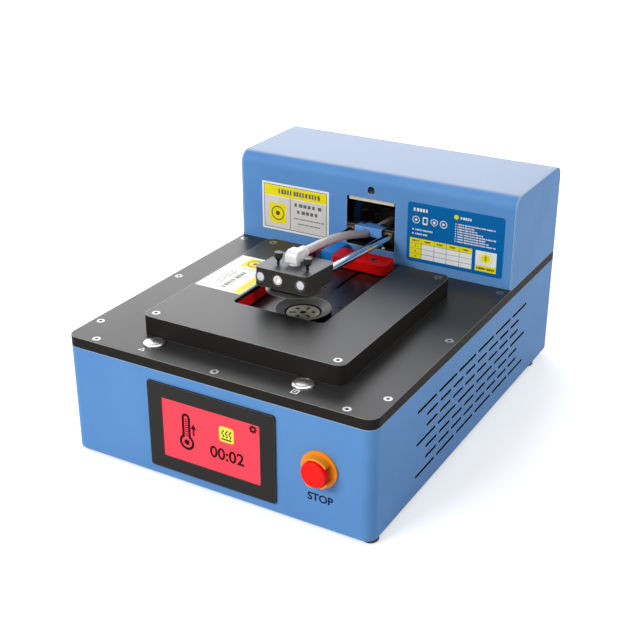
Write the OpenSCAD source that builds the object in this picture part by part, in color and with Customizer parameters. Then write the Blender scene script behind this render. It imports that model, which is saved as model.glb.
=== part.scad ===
/* [Cabinet] */
// Width of the machine, side to side
body_w = 300; // [280:1:330]
// Depth of the machine, front panel to rear panel
body_d = 398.4; // [390:0.2:420]
// Height of the sheet steel casing
body_h = 101.4; // [98:0.2:120]
// Radius of the two front corners
corner_r = 10; // [8:0.5:12]
// Thickness of the sheet steel
sheet_t = 1.5; // [1.2:0.1:2]
// Thickness of the black deck plate
deck_t = 9.5; // [8:0.1:12]
// Height of the rubber feet
foot_h = 5; // [4:0.5:8]
// Radius of the rubber feet
foot_r = 7.5; // [6:0.5:11]

/* [Rear housing] */
// Depth of the rear housing
housing_d = 117.8; // [114:0.2:124]
// Height of the rear housing above the deck
housing_h = 90.8; // [88:0.1:110]
// Radius of its front and rear top edges
housing_r = 11.5; // [8:0.5:14]
// Width of the opening that the arm comes out of
opening_w = 53.5; // [53:0.5:60]
// Height of that opening
opening_h = 50.9; // [50:0.1:54]
// Height of the opening's lower edge above the deck
opening_z = 13.8; // [13:0.1:15]

/* [Platform] */
// Width of the raised platform
platform_w = 197.6; // [192:0.2:210]
// Distance between the platform and the rear housing
platform_gap = 36.6; // [34:0.1:40]
// Height of the platform above the deck
platform_h = 18.7; // [18:0.1:22]
// Width of the bed window in the platform
window_w = 92.2; // [88:0.1:96]
// Height of the heated bed above the deck
bed_rise = 4.1; // [3:0.1:4.5]
// Thickness of the heated bed
bed_t = 10; // [9:0.5:12]

/* [Arm] */
// Tilt of the arm above level, as it is parked
arm_rest = 4.2; // [3.6:0.1:4.6]
// Distance from the arm's pivot to the front face of the head
arm_reach = 245.2; // [240:0.2:250]
// Height of the arm's pivot above the deck
pivot_rise = 23.7; // [23.5:0.1:25]
// Radius of the two guide rods
rod_r = 4; // [3.5:0.1:4.2]
// Distance between the two guide rods
rod_pitch = 40.6; // [38:0.2:42]
// Width of the head block
head_w = 53.5; // [50:0.5:56]
// Length of the head block along the arm
head_d = 51.5; // [48:0.5:56]
// Height of the head block
head_h = 17; // [15:0.5:18]
// Radius of the upper vacuum cup's lip
cup_r = 25; // [22:0.5:26]
// Outer radius of the vacuum hose
hose_r = 4; // [3:0.1:4.1]

/* [Clamps] */
// Width of the rear clamp block
rear_clamp_w = 58.5; // [50:0.5:60]
// Length of the rear clamp block, front to rear
rear_clamp_d = 23.5; // [20:0.5:26]
// Height of the rear clamp block
rear_clamp_h = 10; // [8:0.5:11]
// Width of the side clamp bar
side_clamp_w = 16; // [14:0.5:18]
// Distance between the side clamp bar's end and the platform's rear end
side_clamp_room = 8.1; // [7:0.1:30]

/* [Controls] */
// Width of the display bezel
bezel_w = 126; // [122:0.5:130]
// Height of the display bezel
bezel_h = 82.5; // [80:0.5:86]
// Width of the lit screen
screen_w = 97; // [94:0.5:99]
// Height of the lit screen
screen_h = 56; // [54:0.5:58]
// Radius of the emergency stop's red head
stop_r = 11.3; // [10:0.1:11.5]
// Radius of the yellow guard plate
guard_r = 16.3; // [15.5:0.1:20]
// Radius of the two metal push buttons' heads
button_r = 9.3; // [9:0.1:11]

/* [Hidden] */
$fn = 64;

// Overrun of every cut, running and seated clearances, and the gap between facing pieces
eps = 1;
fit = 0.05;
seat = 0.02;
gap = 0.3;

// What reaches out in front of the front panel and behind the rear panel
stop_back = 5.4;
stop_head_t = 6.6;
front_reach = stop_back + stop_head_t;
rear_reach = 2.5;

// Heights above the floor
casing_z = foot_h;
deck_z = casing_z + body_h;
deck_top = deck_z + deck_t;
platform_top = deck_top + platform_h;
bed_top = deck_top + bed_rise;
bed_bottom = bed_top - bed_t;
housing_top = deck_top + housing_h;
floor_z = casing_z + 2 * sheet_t;

// Front and rear of the machine, so that the whole box is centred on the origin
front_y = front_reach - (body_d + front_reach + rear_reach) / 2;
rear_y = front_y + body_d;
housing_y = rear_y - housing_d;
inner_w = body_w - 2 * sheet_t;
flange = 14;

// Feet
foot_inset = 7.8;
foot_front = 12.2;
foot_back = 36.2;
foot_bevel = 1;

// Platform and window
platform_x = 4.9;
platform_front = front_y + 34.2;
platform_rear = housing_y - platform_gap;
platform_d = platform_rear - platform_front;
platform_corner_r = 8.5;
window_x = 5.4;
window_front = platform_front + 61;
window_corner_r = 5;
window_left = window_x - window_w / 2;
window_right = window_x + window_w / 2;
window_rear = housing_y - 0.8;
lip_t = 4.3;
screw_inset = 9.2;

// Countersunk screws
csk_r = 3.6;
csk_shank_r = 2;
csk_h = 2.2;
csk_edge = 0.3;
hex_r = 1.7;
hex_depth = 1.6;
deck_screw_l = 13;
platform_screw_l = 25;
deck_screw_x = body_w / 2 - 27.5;
deck_screw_front = 7.2;
deck_screw_inset = 7.5;
deck_screw_rows = [37.2, 154.2, 270.2];
deck_screw_places = concat(
    [for (x = [-deck_screw_x, 0, deck_screw_x]) [x, front_y + deck_screw_front]],
    [for (s = [-1, 1], row = deck_screw_rows) [s * (body_w / 2 - deck_screw_inset), front_y + row]]
);
platform_screw_places = [
    for (s = [-1, 1], y = [platform_front + screw_inset, platform_rear - screw_inset])
        [platform_x + s * (platform_w / 2 - screw_inset), y]
];

// Heated bed
bed_gap = 0.6;
bed_rear = housing_y - 3.4;
bed_x = 9;
bed_slot_w = 3;
bed_slot_start = 99.4;
bed_slot_end = 4;
bed_hole_r = 1.3;
bed_hole_deep = 2.6;
bed_hole_back = 3.2;
bed_hole_pitch = 9.7;
bed_far_hole_x = 24;
bed_far_hole_back = 35.6;
mat_t = 1.5;
mat_inset = 12;
probe_r = 1.5;
probe_l = 30;
probe_x = 18.7;
probe_drop = 5;
probe_head_r = 2.5;
probe_head_l = 2;

// Tray and spacers below the bed
tray_drop = 19;
tray_t = 1.5;
tray_flange = 10;
tray_z = deck_z - tray_drop;
spacer_r = 4.5;
spacer_inset = 6;

// Lower vacuum cup
lower_cup_x = bed_x - 0.7;
lower_cup_y = window_front + 40;
lower_lip = 3.9;
lower_flare = 7;
cup_hole_r = 18.8;
cup_wall_r = 18.5;
cup_base_drop = 8;
cup_wall = 1;
disc_r = 17;
disc_t = 2;
disc_drop = 0.4;
disc_hole_r = 3;
disc_ring_r = 9.4;
disc_small_r = 2;
disc_slot_l = 6;
disc_slot_w = 2.2;
disc_turn = 30;
disc_stem_r = 4;
disc_stem_l = 28;
disc_bore_r = 2;

// Blue block at the rear corner of the bed
corner_block_w = 14.9;
corner_block_gap = 0.5;
corner_block_d = 30;
corner_block_h = 11;
corner_block_r = 2;

// Rear clamp
slide_t = 3.5;
slide_w = 40;
slide_d = 16;
clamp_lift = 1;
rear_clamp_y = platform_rear - 3.3;
rear_clamp_x = bed_x - 2.1;
rear_clamp_r = 4;
key_w = 2.9;
key_l = 12;
key_h = 8;
clamp_screw_pitch = 23.8;
clamp_screw_back = 11.5;

// Side clamp
side_clamp_h = 8.5;
side_clamp_proud = 1.3;
side_clamp_front = window_front + 3.7;
side_clamp_l = platform_rear - side_clamp_room - side_clamp_front;
side_clamp_r = 1.5;
side_clamp_left = window_left + side_clamp_proud - side_clamp_w;
side_clamp_z = platform_top - lip_t - gap - side_clamp_h;
clamp_pin_r = 2;
clamp_pin_l = 37;
clamp_pin_grip = 8;
clamp_pin_inset = 27;

// Display
display_x = -0.6;
display_rise = 49.9;
display_z = casing_z + display_rise;
bezel_t = 1.8;
bezel_corner_r = 2.5;
bezel_lap = 4;
glass_set = 0.5;
glass_lap = 3;
glass_t = 5;
board_t = 1.6;
board_back = 4;

// Emergency stop
stop_x = 102.8;
stop_rise = 55;
stop_z = casing_z + stop_rise;
guard_t = 2;
shroud_r = 13.7;
shroud_wall = 1.7;
shroud_h = 9.5;
shroud_arcs = [[38, 152], [234, 259], [295, 330]];
stop_edge_r = 1.6;
stop_travel = 3;
stop_barrel_r = 8;
plunger_r = 4;
plunger_l = 22;
stop_block_w = 26;
stop_block_d = 34;
stop_neck_l = 8;
stop_rest_gap = stop_travel + 2 * gap;

// Push buttons
button_x = 73.6;
button_back = 24.4;
button_flange_h = 2;
button_bevel = 0.8;
button_hole_r = 8;
button_cap_r = 6.2;
button_cap_h = 3.4;
button_cap_rise = 0.8;
button_dome_r = (button_cap_r * button_cap_r + button_cap_rise * button_cap_rise)
    / (2 * button_cap_rise);
button_travel = 1.8;
button_stem_r = 2.5;
button_stem_l = 8;
button_body_l = 30;
nut_t = 3;
nut_r = 11;

// Opening, strip, lens and down stop
opening_low = deck_top + opening_z;
opening_high = opening_low + opening_h;
opening_corner_r = 1.5;
strip_w = 49.5;
strip_show = 3.9;
strip_h = 6;
strip_t = 2;
lens_rise = 8.6;
lens_z = opening_high + lens_rise;
lens_r = 4.1;
lens_flange_r = 6;
lens_depth = 8;
lens_set = 0.4;
lens_cup = 1;
sill_d = 8;
down_stop_x = 13;
down_stop_r = 1.9;
down_stop_h = 0.3;

// Arm, its lengths counted forward from the pivot, its heights from the rods' axis
pivot_y = rear_y - 44.2;
pivot_z = deck_top + pivot_rise;
shaft_r = 5;
shaft_left = 54;
shaft_right = 84;
shaft_bore_r = 1.5;
carrier_w = 60;
carrier_front = 22;
carrier_back = 14;
carrier_h = 24;
carrier_hose_deep = 12;
rod_x_place = rod_pitch / 2;
rod_start = 8;
rod_set = 0.8;
rod_ring = 0.7;
rod_ring_deep = 1.4;
yoke_front = 73;
yoke_d = 12;
yoke_w = 52.8;
yoke_up = 6.2;
yoke_down = 5.5;
flange_w = 9.6;
flange_t = 3;
bracket_w = 29;
bracket_t = 1.2;
bracket_ahead = 6.2;
bracket_behind = 9;
bracket_drop = 7.8;
bracket_slot_x = 11;
bracket_slot_l = 4.5;
bracket_slot_w = 3.2;
bracket_slot_back = 5;
notch_r = 5;
hose_end_x = -2.4;
hose_bore = 0.15;
head_r = 6;
head_back = head_d / 2;
cup_back = 24.5;
stem_r = 5;
stem_bore_r = 2;
stem_flange_r = 8.5;
stem_flange_t = 1.6;
cup_drop = 6.5;
cup_top_r = 10;
cup_lip_t = 1.2;
socket_r = 4.25;
socket_h = 4;
socket_set = 0.5;
socket_shank_r = 2.5;
socket_shank_l = 9;
thumb_back = 18;
thumb_pitch = 29.7;
thumb_shift = 2.2;
thumb_stem_r = 1.3;
thumb_knob_r = 3.9;
thumb_knob_h = 4.5;
thumb_cone_h = 3.5;
thumb_stem_h = 2.8;
thumb_deep = 3.6;
elbow_w = 11.4;
elbow_l = 14;
elbow_h = 10.2;
elbow_foot_r = 5.2;
elbow_foot_h = 3.2;
elbow_bend_r = 6;
elbow_bore_h = 7.7;
collar_r = 5.5;
collar_l = 9;
collar_step = 5;
collar_neck_r = 4.8;
hose_in = 6;

// Cradle, bearings, motor and rotary union
cradle_t = 3;
upright_t = 8;
upright_x = 40;
upright_r = 19;
bearing_r = 13;
bearing_step_r = 8.5;
bearing_step = 0.5;
motor_x = 68;
motor_box_w = 30;
motor_box_h = 40;
motor_box_d = 42;
motor_r = 16;
motor_room = 5;
motor_cap_r = 10;
motor_cap_l = 3;
motor_l = body_w / 2 - motor_room - motor_cap_l - motor_box_w - motor_x;
union_r = 9;
union_l = 16;
union_barb_r = 2.6;
union_barb_l = 9;
union_arm = 5;
inner_hose_r = 3.6;

// Fan, inlet, pump, valve, supply and board
fan_x = -92;
fan_rise = 52;
fan_w = 60;
fan_t = 15;
fan_bore_r = 28.5;
fan_hub_r = 12;
fan_blades = 7;
fan_blade_t = 1.6;
fan_blade_h = 9;
fan_blade_tip_r = 27.5;
fan_blade_turn = 35;
fan_pin_r = 2;
fan_spider_t = 2.5;
fan_corner_r = 4;
grille_slot_w = 3;
grille_pitch = 6.4;
grille_r = 26;
inlet_x = 96;
inlet_rise = 36;
inlet_w = 30;
inlet_h = 52;
inlet_lap = 2;
inlet_depth = 24;
inlet_pocket_w = 22;
inlet_pocket_h = 16;
inlet_pin_w = 2;
inlet_pin_h = 4;
inlet_pin_pitch = 7;
inlet_pocket_drop = 10;
rocker_w = 20;
rocker_h = 13;
rocker_t = 5;
rocker_up = 14;
rocker_pin_r = 1;
rocker_pin_l = 1.5;
rocker_pin_back = 2;
rocker_tilt = 8;
rocker_cut = 1.2;
pan_r = 2.8;
pan_h = 1.9;
pan_shank_r = 1.5;
pan_shank_l = 6;
rear_screw_inset = 7;
housing_screw_rise = 8;
housing_screw_x = [-128, -60, 60, 128];
supply_x = 64.5 - inner_w / 2;
supply_front = 90;
supply_w = 98;
supply_d = 159;
supply_h = 38;
supply_vent_w = 2;
supply_vent_l = 40;
supply_vent_pitch = 9;
supply_lug_h = 5;
pump_x = 68;
pump_front = 132;
pump_r = 21;
pump_l = 62;
pump_head_w = 46;
pump_head_d = 26;
pump_head_h = 56;
pump_saddle_w = 36;
pump_port_r = 3;
pump_port_l = 10;
valve_x = 68;
valve_back = 78.4;
valve_w = 26;
valve_d = 46;
valve_h = 20;
valve_coil_w = 22;
valve_coil_h = 24;
board_gap = 5;
board_front = 40;
board_w = 100;
board_x = supply_x + supply_w / 2 + board_gap + board_w / 2;
board_d = 76;
board_rise = 8;
post_r = 3;
post_inset = 5;
chip_w = 16;
chip_h = 3;
relay_w = 15;
relay_h = 15;
terminal_w = 60;
terminal_d = 9;
terminal_h = 11;

// Pass-through of the deck below the housing
pass_x = -70;
pass_w = 40;
pass_d = 34;
pass_back = 62;

// Vents in both side walls
vent_rows = 7;
vent_row_pitch = 10.33;
vent_drop = 21.6;
vent_mid = 202.2;
vent_h = 2.9;
long_slot_l = 37.6;
long_slot_pitch = 42.3;
long_slots = 6;
short_slot_l = 22.3;
short_slot_pitch = 27.05;
short_slots = 8;

// Hose of the arm in the arm's frame: sideways, forward of the pivot, above the rods' axis
hose_path = [
    [0, 209, 16.3], [0, 202.1, 16.25], [0, 196, 16.1], [0, 189.7, 15.95], [-0.1, 182.4, 15.75],
    [-0.2, 175.1, 15.5], [-0.3, 167.6, 15.1], [-0.4, 160.1, 14.6], [-0.6, 152.4, 14.05],
    [-0.8, 144.7, 13.4], [-1, 135.8, 12.2], [-1.2, 126.9, 10.6], [-1.5, 116.6, 8.75],
    [-1.7, 106.4, 6.6], [-1.9, 99, 4.95], [-2.1, 91.5, 3.3], [-2.3, 85.6, 1.75],
    [-2.4, 79.8, 0.55], [-2.4, 75, 0.05], [-2.4, 68, 0], [-2.4, 60, 0], [-2.4, 50, -0.2],
    [-2.4, 40, -0.2], [-2.4, 31, 0], [-2.4, 22, 0], [-2.4, 16, 0]
];
// Inner hose from the rotary union down to the valve, offsets from the union's barb
inner_path = [
    [0, 0, 0], [0, 0, -4], [-0.5, 0, -9], [-2.5, 0, -15], [-6, 0.5, -22], [-9, 1, -30],
    [-11, 1, -38], [-12, 0, -46.5], [-12, -1, -55], [-10.5, -1, -63.5], [-7, -1, -72], [-1, -1, -79.7],
    [7, -1, -86.5], [17, -1, -91.9], [28, -0.5, -95.9], [40, 0, -98.9], [52, 0, -100.9],
    [64, 0, -102.4], [76, 0, -103.3], [88, 0, -103.6], [98, 0, -103.6], [106.2, 0, -103.6]
];

// Plan with two round front corners
module plan(w, front, rear, r) {
    translate([-w / 2, front + r]) square([w, rear - front - r]);
    translate([-w / 2 + r, front]) square([w - 2 * r, rear - front]);
    for (s = [-1, 1]) translate([s * (w / 2 - r), front + r]) circle(r);
}

// Rectangle with four round corners, about the origin
module round_rect(w, d, r) {
    square([w - 2 * r, d], center = true);
    square([w, d - 2 * r], center = true);
    for (sx = [-1, 1], sy = [-1, 1]) translate([sx * (w / 2 - r), sy * (d / 2 - r)]) circle(r);
}

module round_block(w, d, h, r) {
    linear_extrude(h) round_rect(w, d, r);
}

// Rods along X and along Y, from the origin
module rod_x(r, l) {
    rotate([0, 90, 0]) cylinder(r = r, h = l);
}

module rod_y(r, l) {
    rotate([-90, 0, 0]) cylinder(r = r, h = l);
}

// Slab in the XZ plane that grows towards +Y, about the origin
module wall_block(w, h, t, r) {
    translate([0, t, 0]) rotate([90, 0, 0]) round_block(w, h, t, r);
}

// The arm's own frame
module arm_place() {
    translate([0, pivot_y, pivot_z]) rotate([-arm_rest, 0, 0]) children();
}

// Countersunk screw with a hexagon socket, its head flush with zero
module csk_screw(l) {
    difference() {
        union() {
            translate([0, 0, -csk_edge]) cylinder(r = csk_r, h = csk_edge);
            translate([0, 0, -csk_h]) cylinder(r1 = csk_shank_r, r2 = csk_r, h = csk_h - csk_edge);
            translate([0, 0, -l]) cylinder(r = csk_shank_r, h = l - csk_h);
        }
        translate([0, 0, -hex_depth]) cylinder(r = hex_r, h = hex_depth + eps, $fn = 6);
    }
}

module csk_seat(l) {
    translate([0, 0, -csk_edge]) cylinder(r = csk_r + seat, h = csk_edge + eps);
    translate([0, 0, -csk_h])
        cylinder(r1 = csk_shank_r + seat, r2 = csk_r + seat, h = csk_h - csk_edge);
    translate([0, 0, -l]) cylinder(r = csk_shank_r + seat, h = l - csk_h);
}

// Pan head screw that points along -Z, its head standing on zero
module pan_screw(l) {
    difference() {
        union() {
            cylinder(r = pan_r, h = pan_h);
            translate([0, 0, -l]) cylinder(r = pan_shank_r, h = l);
        }
        translate([0, 0, pan_h / 2]) cylinder(r = pan_shank_r, h = pan_h, $fn = 6);
    }
}

// Row of side vents, seen along X
module vent_row(count, l, pitch) {
    for (i = [0 : count - 1]) translate([0, (i - (count - 1) / 2) * pitch, 0]) {
        translate([0, vent_h / 2 - l / 2, -vent_h / 2]) cube([sheet_t + 2 * eps, l - vent_h, vent_h]);
        for (s = [-1, 1]) translate([0, s * (l - vent_h) / 2, 0]) rod_x(vent_h / 2, sheet_t + 2 * eps);
    }
}

module vents() {
    for (i = [0 : vent_rows - 1])
        translate([0, front_y + vent_mid, deck_z - vent_drop - i * vent_row_pitch]) {
            if (i % 3 == 0) vent_row(long_slots, long_slot_l, long_slot_pitch);
            else vent_row(short_slots, short_slot_l, short_slot_pitch);
        }
}

module base_casing() {
    color([0.42, 0.6, 0.81]) difference() {
        translate([0, 0, casing_z]) linear_extrude(body_h) plan(body_w, front_y, rear_y, corner_r);
        translate([0, 0, casing_z + sheet_t]) linear_extrude(body_h - 2 * sheet_t)
            plan(inner_w, front_y + sheet_t, rear_y + eps, corner_r - sheet_t);
        translate([0, 0, casing_z - eps]) linear_extrude(body_h + 2 * eps)
            translate([flange - body_w / 2, front_y + flange]) square([body_w - 2 * flange, body_d]);
        translate([body_w / 2 - sheet_t - eps, 0, 0]) vents();
        translate([-body_w / 2 - eps, 0, 0]) vents();
        translate([display_x, front_y - eps, display_z])
            wall_block(bezel_w - 2 * bezel_lap, bezel_h - 2 * bezel_lap, sheet_t + 2 * eps,
                bezel_corner_r);
        translate([stop_x, front_y - eps, stop_z]) rod_y(stop_barrel_r + seat, sheet_t + 2 * eps);
        for (p = deck_screw_places) translate([p[0], p[1], deck_top]) csk_seat(deck_screw_l + eps);
        for (p = foot_places) translate([p[0], p[1], casing_z - eps])
            cylinder(r = pan_shank_r + seat, h = sheet_t + 2 * eps);
    }
}

foot_places = [
    for (s = [-1, 1], y = [front_y + foot_front, rear_y - foot_back]) [s * (body_w / 2 - foot_inset), y]
];

module bottom_plate() {
    color([0.62, 0.63, 0.65]) difference() {
        translate([0, 0, casing_z + sheet_t]) linear_extrude(sheet_t)
            plan(inner_w, front_y + sheet_t, rear_y - sheet_t, corner_r - sheet_t);
        for (p = foot_places) translate([p[0], p[1], casing_z])
            cylinder(r = pan_shank_r + seat, h = 3 * sheet_t);
    }
}

module feet() {
    color([0.06, 0.06, 0.07]) for (p = foot_places) translate([p[0], p[1], 0]) difference() {
        union() {
            cylinder(r1 = foot_r - foot_bevel, r2 = foot_r, h = foot_bevel);
            translate([0, 0, foot_bevel]) cylinder(r = foot_r, h = foot_h - foot_bevel);
        }
        translate([0, 0, -eps]) cylinder(r = pan_r + seat, h = foot_h / 2 + eps);
        cylinder(r = pan_shank_r + seat, h = foot_h + eps);
    }
}

rear_screw_places = [
    for (x = [-inner_w / 2 + rear_screw_inset, 0, inner_w / 2 - rear_screw_inset],
         z = [casing_z + flange, deck_z - flange]) [x, z]
];

// Screws of the rear panel, of the housing's rear and of the feet
module case_screws() {
    color([0.75, 0.76, 0.78]) {
        for (p = rear_screw_places) translate([p[0], rear_y, p[1]]) rotate([-90, 0, 0])
            pan_screw(pan_shank_l);
        for (x = housing_screw_x) translate([x, rear_y, deck_top + housing_screw_rise])
            rotate([-90, 0, 0]) pan_screw(pan_shank_l);
        for (p = foot_places) translate([p[0], p[1], foot_h / 2]) rotate([180, 0, 0])
            pan_screw(pan_shank_l);
    }
}

module rear_panel() {
    color([0.42, 0.6, 0.81]) difference() {
        union() {
            translate([-inner_w / 2, rear_y - sheet_t, casing_z + sheet_t])
                cube([inner_w, sheet_t, body_h - 2 * sheet_t]);
            for (s = [-1, 1]) translate([s * (inner_w - sheet_t) / 2 - sheet_t / 2, rear_y - flange,
                floor_z])
                cube([sheet_t, flange, body_h - 3 * sheet_t]);
        }
        translate([fan_x, rear_y - sheet_t - eps, casing_z + fan_rise]) grille();
        translate([inlet_x, rear_y - sheet_t - eps, casing_z + inlet_rise])
            wall_block(inlet_w - 2 * inlet_lap, inlet_h - 2 * inlet_lap, sheet_t + 2 * eps, inlet_lap);
        for (p = rear_screw_places) translate([p[0], rear_y - sheet_t - eps, p[1]])
            rod_y(pan_shank_r + seat, sheet_t + 2 * eps);
    }
}

// Slots of the fan's grille in the rear panel
module grille() {
    for (i = [-4 : 4]) {
        l = 2 * sqrt(grille_r * grille_r - i * i * grille_pitch * grille_pitch);
        translate([0, 0, i * grille_pitch])
            wall_block(l, grille_slot_w, sheet_t + 2 * eps, grille_slot_w / 2 - seat);
    }
}

module deck_plate() {
    color([0.07, 0.07, 0.075]) difference() {
        translate([0, 0, deck_z]) linear_extrude(deck_t) plan(body_w, front_y, rear_y, corner_r);
        translate([window_left, window_front, deck_z - eps])
            cube([window_w, window_rear - window_front, deck_t + 2 * eps]);
        translate([pass_x - pass_w / 2, rear_y - pass_back, deck_z - eps])
            cube([pass_w, pass_d, deck_t + 2 * eps]);
        for (p = deck_screw_places) translate([p[0], p[1], deck_top]) csk_seat(deck_screw_l + eps);
        for (p = platform_screw_places) translate([p[0], p[1], platform_top])
            csk_seat(platform_screw_l + eps);
        for (s = [-1, 1]) translate([s * button_x, front_y + button_back, deck_z - eps])
            cylinder(r = button_hole_r + seat, h = deck_t + 2 * eps);
    }
}

module countersunk_screws() {
    color([0.75, 0.76, 0.78]) {
        for (p = deck_screw_places) translate([p[0], p[1], deck_top]) csk_screw(deck_screw_l);
        for (p = platform_screw_places) translate([p[0], p[1], platform_top])
            csk_screw(platform_screw_l);
    }
}

side_clamp_places = [side_clamp_front + clamp_pin_inset,
    side_clamp_front + side_clamp_l - clamp_pin_inset];

module platform_frame() {
    color([0.08, 0.08, 0.085]) difference() {
        translate([platform_x, (platform_front + platform_rear) / 2, deck_top])
            linear_extrude(platform_h) round_rect(platform_w, platform_d, platform_corner_r);
        translate([window_x, 0, deck_top - eps]) linear_extrude(platform_h + 2 * eps)
            plan(window_w, window_front, platform_rear + eps, window_corner_r);
        translate([side_clamp_left - gap, side_clamp_front - gap, side_clamp_z - gap])
            cube([window_left - side_clamp_left + gap + window_corner_r, side_clamp_l + 2 * gap,
                side_clamp_h + 2 * gap]);
        for (y = side_clamp_places)
            translate([side_clamp_left + clamp_pin_grip - clamp_pin_l - gap, y,
                side_clamp_z + side_clamp_h / 2])
                rod_x(clamp_pin_r + fit, clamp_pin_l);
        for (p = platform_screw_places) translate([p[0], p[1], platform_top])
            csk_seat(platform_screw_l);
    }
}

module side_clamp_bar() {
    color([0.72, 0.03, 0.03]) difference() {
        translate([side_clamp_left + side_clamp_w / 2, side_clamp_front + side_clamp_l / 2,
            side_clamp_z])
            round_block(side_clamp_w, side_clamp_l, side_clamp_h, side_clamp_r);
        for (y = side_clamp_places)
            translate([side_clamp_left - eps, y, side_clamp_z + side_clamp_h / 2])
            rod_x(clamp_pin_r + seat, clamp_pin_grip + eps);
    }
}

module side_clamp_pins() {
    color([0.75, 0.76, 0.78]) for (y = side_clamp_places)
        translate([side_clamp_left + clamp_pin_grip - clamp_pin_l, y, side_clamp_z + side_clamp_h / 2])
            rod_x(clamp_pin_r, clamp_pin_l);
}

module bed_outline() {
    plan(window_w - 2 * bed_gap, window_front + bed_gap, bed_rear, window_corner_r - bed_gap);
}

module bed_plate() {
    color([0.05, 0.05, 0.06]) difference() {
        translate([window_x, 0, bed_bottom]) linear_extrude(bed_t) bed_outline();
        translate([bed_x - bed_slot_w / 2, window_front + bed_slot_start, bed_bottom - eps])
            cube([bed_slot_w, bed_rear - bed_slot_end - window_front - bed_slot_start,
                bed_t + 2 * eps]);
        translate([lower_cup_x, lower_cup_y, bed_bottom - eps])
            cylinder(r = cup_hole_r, h = bed_t + 2 * eps);
        for (s = [-1, 1]) {
            translate([bed_x + s * bed_hole_pitch, window_front + bed_slot_start - bed_hole_back,
                bed_top - bed_hole_deep])
                cylinder(r = bed_hole_r, h = bed_hole_deep + eps);
            translate([bed_x + s * bed_far_hole_x,
                window_front + bed_slot_start - bed_far_hole_back, bed_top - bed_hole_deep])
                cylinder(r = bed_hole_r, h = bed_hole_deep + eps);
        }
        translate([bed_x + probe_x, bed_rear - probe_l, bed_top - probe_drop])
            rod_y(probe_r + seat, probe_l + eps);
    }
}

module temperature_probe() {
    color([0.75, 0.76, 0.78])
        translate([bed_x + probe_x, bed_rear - probe_l, bed_top - probe_drop]) {
        rod_y(probe_r, probe_l);
        translate([0, probe_l, 0]) rod_y(probe_head_r, probe_head_l);
    }
}

module heater_mat() {
    color([0.75, 0.45, 0.12]) difference() {
        translate([window_x, 0, bed_bottom - mat_t]) linear_extrude(mat_t)
            plan(window_w - 2 * mat_inset, window_front + mat_inset, bed_rear - mat_inset,
                window_corner_r);
        translate([lower_cup_x, lower_cup_y, bed_bottom - mat_t - eps])
            cylinder(r = cup_hole_r, h = mat_t + 2 * eps);
    }
}

spacer_places = [
    for (s = [-1, 1], y = [window_front + bed_gap + spacer_inset, bed_rear - spacer_inset])
        [window_x + s * (window_w / 2 - bed_gap - spacer_inset), y]
];

module bed_spacers() {
    color([0.9, 0.88, 0.82]) for (p = spacer_places) translate([p[0], p[1], tray_z + tray_t])
        cylinder(r = spacer_r, h = bed_bottom - tray_z - tray_t);
}

module bed_tray() {
    color([0.62, 0.63, 0.65]) difference() {
        translate([window_left - tray_flange, window_front - tray_flange, tray_z])
            cube([window_w + 2 * tray_flange, window_rear - window_front + 2 * tray_flange, tray_drop]);
        translate([window_left, window_front, tray_z + tray_t])
            cube([window_w, window_rear - window_front, tray_drop]);
        difference() {
            translate([window_left - tray_flange - eps, window_front - tray_flange - eps, tray_z - eps])
                cube([window_w + 2 * tray_flange + 2 * eps,
                    window_rear - window_front + 2 * tray_flange + 2 * eps,
                    tray_drop - tray_t + eps]);
            translate([window_left - tray_t, window_front - tray_t, tray_z - 2 * eps])
                cube([window_w + 2 * tray_t, window_rear - window_front + 2 * tray_t, tray_drop + eps]);
        }
        translate([lower_cup_x, lower_cup_y, tray_z - eps])
            cylinder(r = disc_stem_r + gap, h = tray_t + 2 * eps);
    }
}

module lower_cup() {
    lip_r = cup_r + 0.7;
    color([0.1, 0.1, 0.1]) translate([lower_cup_x, lower_cup_y, bed_top]) rotate_extrude()
        polygon([
            [disc_stem_r + seat, -cup_base_drop], [cup_wall_r, -cup_base_drop], [cup_wall_r, 0],
            [lip_r - cup_wall, lower_lip - cup_wall], [lip_r, lower_lip - cup_wall / 2], [lip_r,
                lower_lip],
            [lip_r - cup_wall, lower_lip], [disc_r + seat, cup_wall / 2],
            [disc_r + seat, -disc_drop - disc_t], [disc_stem_r + seat, -disc_drop - disc_t]
        ]);
}

module lower_cup_disc() {
    color([0.45, 0.44, 0.38]) translate([lower_cup_x, lower_cup_y, bed_top - disc_drop]) difference() {
        union() {
            translate([0, 0, -disc_t]) cylinder(r = disc_r, h = disc_t);
            translate([0, 0, -disc_stem_l]) cylinder(r = disc_stem_r, h = disc_stem_l);
        }
        translate([0, 0, -disc_stem_l - eps]) cylinder(r = disc_bore_r, h = disc_stem_l + 2 * eps);
        translate([0, 0, -disc_t]) cylinder(r = disc_hole_r, h = disc_t + eps);
        for (i = [0 : 2]) rotate(disc_turn + i * 120) {
            translate([disc_ring_r, 0, -disc_t - eps]) cylinder(r = disc_small_r, h = disc_t + 2 * eps);
            rotate(60) translate([disc_ring_r - disc_slot_l / 2, -disc_slot_w / 2, -disc_t - eps])
                cube([disc_slot_l, disc_slot_w, disc_t + 2 * eps]);
        }
    }
}

module corner_block() {
    color([0.1, 0.42, 0.82])
        translate([rear_clamp_x - (rear_clamp_w + corner_block_w) / 2 - corner_block_gap,
            bed_rear - corner_block_d / 2, bed_top])
            round_block(corner_block_w, corner_block_d, corner_block_h, corner_block_r);
}

clamp_screw_places = [for (s = [-1, 1]) [s * clamp_screw_pitch / 2, clamp_screw_back]];

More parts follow.
